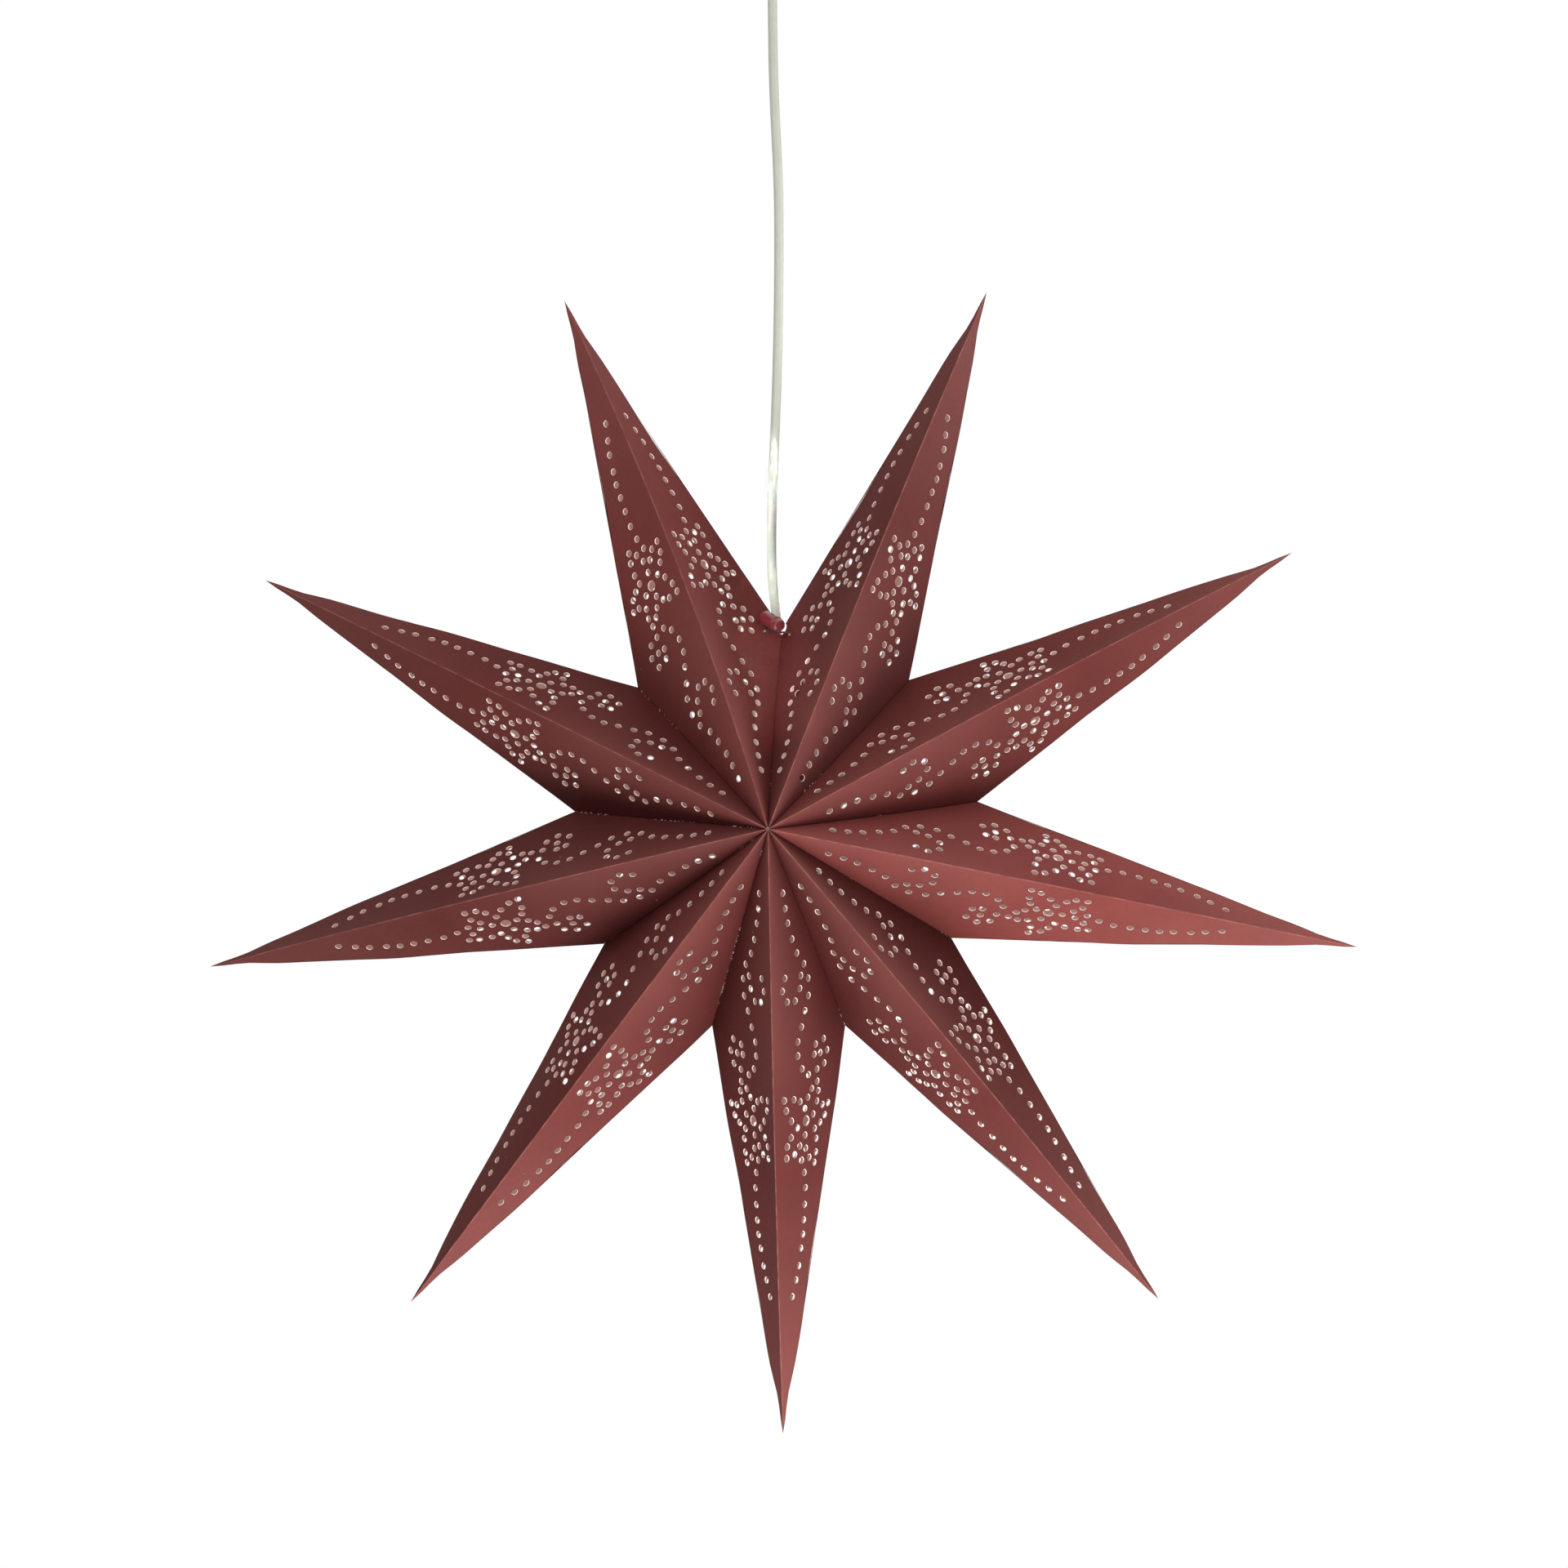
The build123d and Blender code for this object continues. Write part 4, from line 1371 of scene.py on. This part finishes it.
@dataclass
class CordLock:
    """The sprung cord lock: barrel and button from the frame, and a coil spring between them.

    The ends are given from the star's centre, and other lengths from the barrel's closed end.
    """

    far_end: tuple[float, float, float] = (-6.2, -6.0, 123.2)
    near_end: tuple[float, float, float] = (3.3, -21.0, 116.4)
    spring_radius: float = 2.3
    wire: float = 0.22
    turns: float = 5.0
    closed_turns: float = 0.75
    spring_start: float = 1.25
    spring_end: float = 5.65
    travel: float = 2.5

    @property
    def origin(self) -> Array:
        """Middle of the barrel's closed end."""
        return np.array(self.far_end) + STAR_CENTRE

    @property
    def axis(self) -> Array:
        """From the closed end to the button."""
        axis = np.array(self.near_end) - np.array(self.far_end)
        return axis / np.linalg.norm(axis)

    def strand(self, along: float, off: float) -> Array:
        """A point on a strand of the drawcord that crosses the lock.

        Args:
            along: Where the strand crosses the lock's axis.
            off: How far the point is from the axis, square to it and downwards.

        Returns:
            The point, to a thousandth of a millimetre.
        """
        down = self.axis * self.axis[2] - UP
        point = self.origin + along * self.axis + off * down / np.linalg.norm(down)
        return np.round(point, 3)

    def spring(self) -> bpy.types.Object:
        """The coil.

        Formula: a circle of the spring's radius in u that climbs along the lock's axis, with its end
        turns closed flat.

        Returns:
            The finished spring.
        """
        across = np.cross(self.axis, UP)
        across /= np.linalg.norm(across)
        third = np.cross(self.axis, across)
        turn = np.linspace(0, self.turns, 300)[:, None]
        open_turns = self.turns - 2 * self.closed_turns
        climb = np.clip((turn - self.closed_turns) / open_turns, 0, 1)
        height = self.spring_start + climb * (self.spring_end - self.spring_start)
        circle = np.cos(2 * np.pi * turn) * across + np.sin(2 * np.pi * turn) * third
        path = self.origin + height * self.axis + self.spring_radius * circle
        piece = carried(path, self.wire, 10).piece("coil_spring", CORD_ANGLE)
        Finish.STEEL.settle(piece, "lock_spring", "star_9")
        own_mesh(piece)
        return piece

    def build(self) -> list[bpy.types.Object]:
        """Dress the barrel and the button, and add the spring.

        Returns:
            The three pieces.
        """
        barrel = Finish.LOCK_BODY.dress(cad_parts["lock_barrel"])
        button = Finish.LOCK_CAP.dress(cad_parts["lock_button"])
        return [barrel, button, self.spring()]


@dataclass
class Drawcord:
    """The thin string round the neck of the star, both of its ends in the cord lock.

    The loop's points are given from the valley at the open seam.
    """

    lock: CordLock = field(default_factory=CordLock)
    valley: float = StarShape.notch
    radius: float = 0.6
    length: float = 79.5
    strands: tuple[float, float] = (7.6, 9.0)
    strand_start: float = -2.4
    strand_exit: float = 6.2
    loop: tuple[tuple[float, float, float], ...] = (
        (-8.6, -6.6, 3.5), (-10.4, 0.2, 3.3), (-8.2, 6.8, 3.2), (-2.9, 10.6, 3.1), (3.4, 10.4, 3.2),
        (8.6, 6.4, 3.3), (10.5, -0.4, 3.4), (8.3, -7.0, 3.5), (3.2, -11.3, 3.4),
    )

    def path(self) -> Array:
        """Points along the string: through the lock, round the neck and back through the lock.

        Returns:
            The points, in millimetres.
        """
        near, far = self.strands
        first = [self.lock.strand(near, off) for off in (self.strand_start, self.strand_exit)]
        last = [self.lock.strand(far, off) for off in (self.strand_exit, self.strand_start)]
        loop = np.array(self.loop) + STAR_CENTRE + self.valley * UP
        return spline_points(np.concatenate([first, loop, last]), 40)

    def build(self) -> bpy.types.Object:
        """Three strands laid together, carried along the path.

        Returns:
            The finished string.
        """
        path = self.path()
        string = carried(path, self.radius, 18, strands=3, lay=3.2, depth=0.3)
        piece = Finish.TIE_STRING.settle(string.piece("neck_string", CORD_ANGLE), "drawcord", "star_9")
        return piece


@dataclass
class PowerCord:
    """The round electric cord from the lampholder's gland to the grip under the ceiling.

    The route's points are in cord radii to the side and in shares of the cord's rise.
    """

    radius: float = 2.6
    length: float = 425.3
    start: float = 99.0
    rise: float = 425.0
    route: tuple[tuple[float, float], ...] = (
        (0.0, 0.0), (0.0, 0.054), (-1.23, 0.113), (-0.92, 0.214), (0.31, 0.355), (0.92, 0.492),
        (1.08, 0.619), (0.12, 0.746), (0.0, 0.873), (0.0, 1.0),
    )

    def build(self) -> bpy.types.Object:
        """One smooth spline through the cord's route, with a round bevel.

        Returns:
            The finished cord.
        """
        data = bpy.data.curves.new("electric_cord", "CURVE")
        data.bevel_depth = self.radius * MM
        data.bevel_resolution = 7
        data.resolution_u = 12
        data.use_fill_caps = True
        aside, share = np.array(self.route).T
        height = self.start + share * self.rise - STAR_DROP
        rows = np.stack([aside * self.radius, np.zeros(len(aside)), height], axis=1)
        lay_spline(data, rows)
        cord = Finish.CORD_SHEATH.settle(linked("electric_cord", data), "power_cord", "root")
        return cord


# ---------------------------------------------------------------- lamp and ceiling fitting


@dataclass
class Lamp:
    """Lampholder and bulb inside the star; heights above the star's centre, in millimetres."""

    gland_top: float = 101.5
    holder_top: float = 84.0
    holder_shoulder: float = 75.0
    joint: float = 68.0
    bottom: float = 38.0
    collar_shoulder: float = 33.5
    collar_bottom: float = 27.0
    globe_bottom: float = 0.6
    bore: float = 2.65
    holder_radius: float = 13.4
    holder_bore: float = 11.9
    cap_neck: float = 6.2
    nut_radius: float = 5.6
    nozzle_radius: float = 3.3
    collar_radius: float = 11.0
    collar_neck: float = 10.2
    globe_radius: float = 16.5
    grips: tuple[float, ...] = (42.0, 45.0, 48.0)
    grip_depth: float = 0.5
    grip_height: float = 1.4
    flutes: int = 12
    flute_depth: float = 0.25
    thread_radius: float = 6.9
    thread_depth: float = 0.2
    thread_pitch: float = 2.8
    thread_start: float = 2.0
    thread_end: float = 16.5
    thread_easing: float = 0.5
    cap_top: tuple[tuple[float, float], ...] = ((6.2, 17.4), (2.4, 19.9), (0.0, 20.0))

    def turned_piece(
        self, name: str, node: str, outline: Array, finish: Finish, ripple: Array | None = None
    ) -> bpy.types.Object:
        """A piece turned about the lamp's axis that stands for a node of the frame.

        Args:
            name: The piece's name.
            node: The node.
            outline: Radius and height above the star's centre, anticlockwise in that plane.
            finish: Its finish.
            ripple: Added to the radius at each step round the axis, if given.

        Returns:
            The finished piece.
        """
        steps = 96 if ripple is None else len(ripple)
        piece = turned(outline, -STAR_DROP, steps, ripple).piece(name)
        return finish.settle(piece, node, "root")

    def shell(self) -> bpy.types.Object:
        """The holder's skirt, with shallow grips round it.

        Returns:
            The finished skirt.
        """
        outer, inner, slope = self.holder_radius, self.holder_bore, 0.4
        groove, end = outer - self.grip_depth, self.grip_height
        corners = [(inner, self.bottom, 0.3), (outer, self.bottom, 0.5)]
        for low in self.grips:
            corners += [(outer, low, 0.1), (groove, low + slope, 0.1)]
            corners += [(groove, low + end - slope, 0.1), (outer, low + end, 0.1)]
        corners += [(outer, self.joint, 0.2), (inner, self.joint, 0.2)]
        outline = rounded(corners, 4)
        return self.turned_piece("lampholder_skirt", "holder_shell", outline, Finish.WHITE_PLASTIC)

    def cap(self) -> bpy.types.Object:
        """The holder's cap, drawn in to the gland.

        Returns:
            The finished cap.
        """
        outline = rounded([
            (self.bore, self.joint, 0.0), (self.holder_radius, self.joint, 0.3),
            (self.holder_radius, self.holder_shoulder, 1.6), (self.cap_neck, self.holder_top, 0.6),
            (self.bore, self.holder_top, 0.0),
        ])
        return self.turned_piece("lampholder_cap", "holder_cap", outline, Finish.WHITE_PLASTIC)

    def gland(self) -> bpy.types.Object:
        """The cord gland: a fluted nut and a plain nozzle.

        Formula of the flutes: the nut's radius falls by depth (1 - cos(flutes u)) where the outline
        is on the nut.

        Returns:
            The finished gland.
        """
        middle = (self.holder_top + self.gland_top) / 2
        outline = rounded([
            (self.bore, self.holder_top, 0.0), (self.nut_radius, self.holder_top, 0.4),
            (self.nut_radius, middle, 0.8), (self.nozzle_radius, middle + 0.6, 0.3),
            (self.nozzle_radius, self.gland_top, 0.3), (self.bore, self.gland_top, 0.0),
        ])
        u = np.linspace(0, 2 * np.pi, 12 * self.flutes, endpoint=False)[:, None]
        on_nut = outline[:, 0] > (self.nut_radius + self.nozzle_radius) / 2
        ripple = -self.flute_depth * (1 - np.cos(self.flutes * u)) * on_nut
        return self.turned_piece("cord_gland", "holder_gland", outline, Finish.WHITE_PLASTIC, ripple)

    def screw_cap(self) -> bpy.types.Object:
        """The bulb's screw cap, its heights above the holder's lower edge.

        Formula of the thread: the radius falls by depth (1 - cos(u - 2 pi h / pitch)) over the
        threaded height.

        Returns:
            The finished cap.
        """
        start, end = self.thread_start, self.thread_end
        side = np.stack([np.full(60, self.thread_radius), np.linspace(start, end, 60)], axis=1)
        foot = [(0.0, 0.0), (self.thread_radius, 0.0)]
        outline = np.concatenate([foot, side, self.cap_top])
        outline[:, 1] += self.bottom
        height = outline[:, 1]
        u = np.linspace(0, 2 * np.pi, 96, endpoint=False)[:, None]
        low, high = start + self.thread_easing, end - self.thread_easing
        threaded = (height > self.bottom + low) & (height < self.bottom + high)
        wave = 1 - np.cos(u - 2 * np.pi * height / self.thread_pitch)
        ripple = -self.thread_depth * wave * threaded
        return self.turned_piece("screw_cap", "bulb_cap", outline, Finish.BRASS, ripple)

    def collar(self) -> bpy.types.Object:
        """The bulb's plastic collar, with a step under the holder.

        Returns:
            The finished collar.
        """
        low, step, high = self.collar_bottom, self.collar_shoulder, self.bottom
        outline = rounded([
            (0.0, low, 0.0), (self.collar_radius, low, 0.4), (self.collar_radius, step, 0.6),
            (self.collar_neck, step + 0.7, 0.3), (self.collar_neck, high, 0.3), (0.0, high, 0.0),
        ], 5)
        return self.turned_piece("bulb_base", "bulb_collar", outline, Finish.WHITE_PLASTIC)

    def globe(self) -> bpy.types.Object:
        """The bulb's straight-sided opal envelope with a round end.

        Returns:
            The finished envelope.
        """
        low, high = self.globe_bottom, self.collar_bottom
        outline = rounded([
            (0.0, low, 0.0), (self.globe_radius, low, 7.0), (self.globe_radius, high, 1.2),
            (0.0, high, 0.0),
        ], 12)
        return self.turned_piece("bulb_envelope", "bulb_globe", outline, Finish.OPAL_GLASS)

    def build(self) -> list[bpy.types.Object]:
        """Dress the frame's pieces of the lampholder and the bulb, and make the others.

        Returns:
            Every piece.
        """
        kept = dress_nodes({
            Finish.CERAMIC: ("holder_insert",),
            Finish.BRASS: ("thread_sleeve", "centre_contact", "side_contact"),
            Finish.STEEL: ("contact_screws", "bulb_tip"),
        })
        made = [self.shell(), self.cap(), self.gland(), self.screw_cap(), self.collar(), self.globe()]
        return kept + made


@dataclass
class CeilingFitting:
    """The fitting above the photograph's edge: cup, grommet, cord grip, terminals and their leads.

    Heights are below the ceiling, in millimetres.
    """

    cup_radius: float = 34.0
    cup_height: float = 50.0
    cup_wall: float = 1.6
    cup_shoulder: float = 9.0
    cup_hole: float = 6.1
    ceiling_gap: float = 0.3
    cord_hole: float = 2.7
    grommet_lip: float = 7.8
    grommet_neck: float = 6.0
    lip_height: float = 1.6
    lip_drop: float = 1.65
    grommet_height: float = 4.8
    lead_radius: float = 0.8
    lead_route: tuple[tuple[float, float, float], ...] = (
        (0.0, 1.1, -11.0), (0.0, 1.1, -7.0), (7.0, 3.0, -7.0), (17.25, 3.0, -7.0),
    )

    def turned_piece(self, name: str, node: str, outline: Array, finish: Finish) -> bpy.types.Object:
        """A piece turned about the cord's axis that slides with the cup."""
        return finish.settle(turned(outline, 0.0, 128).piece(name), node, "cup")

    def cup(self) -> bpy.types.Object:
        """The cup: one wall, thin, with a slanted and softly rounded shoulder.

        Returns:
            The finished cup.
        """
        low, high = -self.cup_height, -self.ceiling_gap
        outer, inner, floor = self.cup_radius, self.cup_radius - self.cup_wall, low + self.cup_wall
        shoulder, hole = self.cup_shoulder, self.cup_hole
        outline = rounded([
            (hole, low, 0.3), (outer - shoulder, low, 5.0), (outer, low + shoulder, 5.0),
            (outer, high, 0.5), (inner, high, 0.5), (inner, floor + shoulder, 4.0),
            (inner - shoulder, floor, 4.0), (hole, floor, 0.3),
        ], 8)
        return self.turned_piece("canopy_cup", "ceiling_cup", outline, Finish.WHITE_PLASTIC)

    def grommet(self) -> bpy.types.Object:
        """The soft ring in the cup's floor that the cord slides in.

        Returns:
            The finished grommet.
        """
        low = -self.cup_height - self.lip_drop
        step, high = low + self.lip_height, low + self.grommet_height
        outline = rounded([
            (self.cord_hole, low, 0.4), (self.grommet_lip, low, 0.7), (self.grommet_lip, step, 0.3),
            (self.grommet_neck, step, 0.0), (self.grommet_neck, high, 0.6), (self.cord_hole, high, 0.4),
        ])
        return self.turned_piece("cord_grommet", "cup_grommet", outline, Finish.WHITE_RUBBER)

    def leads(self) -> bpy.types.Object:
        """Both leads from the cord's end to the terminals.

        Returns:
            The finished leads.
        """
        whole = Surface.empty()
        for hand in (1, -1):
            route = np.array(self.lead_route) * np.array([1.0, hand, 1.0])
            whole = whole.joined(carried(spline_points(route, 24), self.lead_radius, 16))
        return Finish.LEAD_SHEATH.settle(whole.piece("leads", CORD_ANGLE), "cord_leads", "root")

    def build(self) -> list[bpy.types.Object]:
        """Dress the frame's pieces of the ceiling fitting, and make the others.

        Returns:
            Every piece.
        """
        kept = dress_nodes({
            Finish.STEEL: ("ceiling_plate", "grip_screws"),
            Finish.WHITE_PLASTIC: ("cord_grip_base", "cord_grip_bar", "terminal_block"),
            Finish.BRASS: ("terminal_screws",),
        })
        return kept + [self.cup(), self.grommet(), self.leads()]


# ---------------------------------------------------------------- studio


@dataclass(frozen=True)
class StudioLamp:
    """A soft lamp beside the star, square to the line of sight or leaning towards the camera.

    Its clock angle runs anticlockwise from the camera's right, in degrees, as the lean is.
    """

    clock: float
    power: float
    towards_camera: float = 0.0
    size: float = 0.3
    distance: float = 0.75


@dataclass
class Studio:
    """Camera, lamps, plain background and floor; angles in degrees and lengths in metres."""

    azimuth: float = 4.8
    elevation: float = -7.2
    roll: float = -0.47
    distance: float = 4.0
    lens: float = 169.5
    target: tuple[float, float, float] = (0.0029, 0.0, -0.5021)
    floor_height: float = -5.0
    floor_reach: float = 12.0
    floor_glow: float = 0.85
    ambient: float = 0.15
    inside_power: float = 0.15
    inside_size: float = 0.024
    inside_rise: float = 0.0138
    strip_power: float = 0.02
    strip_size: tuple[float, float] = (0.02, 0.16)
    strip_spread: float = 2.5
    strip_height: float = -0.395
    strip_distance: float = 1.0
    lamps: tuple[StudioLamp, ...] = (
        StudioLamp(30, 3.4, 5.0), StudioLamp(270, 3.4, 40.0), StudioLamp(300, 3.0, 40.0),
        StudioLamp(120, 2.5, 40.0), StudioLamp(300, 1.8, 5.0), StudioLamp(30, 0.5, 40.0),
        StudioLamp(60, 1.3, -65.0), StudioLamp(240, 1.3, -65.0),
    )

    def axes(self) -> tuple[Array, Array, Array]:
        """The camera's axes.

        Returns:
            Its right, up and backward directions.
        """
        a, e, r = np.radians([self.azimuth, self.elevation, self.roll])
        back = np.array([math.sin(a) * math.cos(e), -math.cos(a) * math.cos(e), math.sin(e)])
        right = np.array([math.cos(a), math.sin(a), 0.0])
        up = np.cross(back, right)
        return math.cos(r) * right + math.sin(r) * up, math.cos(r) * up - math.sin(r) * right, back

    def camera(self) -> None:
        """The camera at the photograph's angle."""
        data = bpy.data.cameras.new("camera")
        data.lens, data.sensor_width = self.lens, 36.0
        data.clip_start, data.clip_end = 0.05, 60.0
        camera = linked("camera", data)
        right, up, back = self.axes()
        turn = Matrix(np.stack([right, up, back], axis=1).tolist()).to_4x4()
        place = Vector(self.target) + Vector(back) * self.distance
        camera.matrix_world = Matrix.Translation(place) @ turn
        bpy.context.scene.camera = camera

    def aimed(self, data: bpy.types.Light, place: Array, aim: Array) -> bpy.types.Object:
        """Set a lamp up in the studio.

        Args:
            data: The lamp.
            place: Where it stands.
            aim: The direction that its back faces.

        Returns:
            Its object.
        """
        light = linked(data.name, data)
        turn = Vector(aim).to_track_quat("Z", "Y").to_matrix().to_4x4()
        light.matrix_world = Matrix.Translation(Vector(place)) @ turn
        return light

    def lights(self) -> None:
        """The lamps round the star, a narrow strip of light on the cord, and the glow inside."""
        right, up, back = self.axes()
        centre = STAR_CENTRE * MM
        for number, lamp in enumerate(self.lamps):
            angle, lean = math.radians(lamp.clock), math.radians(lamp.towards_camera)
            round_sight = math.cos(angle) * right + math.sin(angle) * up
            aim = math.cos(lean) * round_sight + math.sin(lean) * back
            data = bpy.data.lights.new(f"studio_lamp_{number}", "AREA")
            data.shape, data.size, data.energy = "DISK", lamp.size, lamp.power
            self.aimed(data, centre + aim * lamp.distance, aim)
        data = bpy.data.lights.new("cord_strip", "AREA")
        data.shape, data.energy = "RECTANGLE", self.strip_power
        data.spread = math.radians(self.strip_spread)
        data.size, data.size_y = self.strip_size
        level = np.array([back[0], back[1], 0.0]) / math.hypot(back[0], back[1])
        strip = self.aimed(data, level * self.strip_distance + self.strip_height * UP, level)
        strip.visible_camera = False
        data = bpy.data.lights.new("inside_glow", "POINT")
        data.energy, data.shadow_soft_size = self.inside_power, self.inside_size
        glow = linked("inside_glow", data)
        glow.location = centre + self.inside_rise * UP

    def seen(self, tree: bpy.types.NodeTree) -> bpy.types.NodeSocket:
        """Tell rays that show the background from those that light the object.

        Args:
            tree: The node tree to work in.

        Returns:
            A socket that is 1 for rays from the camera, off gloss and through glass, and else 0.
        """
        path = tree.nodes.new("ShaderNodeLightPath")
        seen = path.outputs["Is Camera Ray"]
        for kind in ("Is Glossy Ray", "Is Transmission Ray"):
            either = tree.nodes.new("ShaderNodeMath")
            either.operation = "MAXIMUM"
            tree.links.new(seen, either.inputs[0])
            tree.links.new(path.outputs[kind], either.inputs[1])
            seen = either.outputs[0]
        return seen

    def world(self) -> None:
        """White to the camera, to gloss and through glass, and a plain grey light to the rest."""
        world = bpy.data.worlds.new("studio")
        bpy.context.scene.world = world
        world.use_nodes = True
        tree = world.node_tree
        tree.nodes.clear()
        mix, out = (tree.nodes.new(f"ShaderNode{kind}") for kind in ("MixShader", "OutputWorld"))
        tree.links.new(self.seen(tree), mix.inputs[0])
        for socket, strength in ((1, self.ambient), (2, 1.0)):
            light = tree.nodes.new("ShaderNodeBackground")
            light.inputs["Strength"].default_value = strength
            light.inputs["Color"].default_value = (1.0, 1.0, 1.0, 1.0)
            tree.links.new(light.outputs[0], mix.inputs[socket])
        tree.links.new(mix.outputs[0], out.inputs["Surface"])

    def floor(self) -> None:
        """A plain pale floor far below the lantern, white to the camera but for shadows."""
        square = np.array([[-1, -1, 0], [1, -1, 0], [1, 1, 0], [-1, 1, 0]])
        corners = (square * self.floor_reach + self.floor_height * UP) / MM
        piece = Surface(corners, [[0, 1, 2, 3]]).piece("floor")
        g = Graph("floor_paint")
        finish = g.surface(
            Base_Color=g.mix(g.noise(3.0), paint(238, 238, 236), paint(244, 244, 242)),
            Roughness=0.9,
            Emission_Color=Signal(g, self.seen(g.tree)),
            Emission_Strength=self.floor_glow,
        )
        piece.data.materials.append(finish)

    def build(self) -> None:
        """The whole studio."""
        bpy.context.scene.view_settings.view_transform = "Standard"
        self.camera()
        self.lights()
        self.world()
        self.floor()


def main() -> None:
    """Build the lantern and its studio."""
    logging.basicConfig(level=logging.INFO, format="%(name)s: %(message)s")
    Studio().build()
    lock = CordLock()
    drawcord = Drawcord(lock)
    assemblies = {
        "electric cord": lambda: [PowerCord().build()],
        "drawcord": lambda: [drawcord.build()],
        "paper star": lambda: PaperStar().build(drawcord.path()),
        "cord lock": lock.build,
        "lamp": Lamp().build,
        "ceiling fitting": CeilingFitting().build,
    }
    for name, build in assemblies.items():
        for piece in build():
            log.info("%s: %s", name, piece.name)


if __name__ == "__main__":
    main()
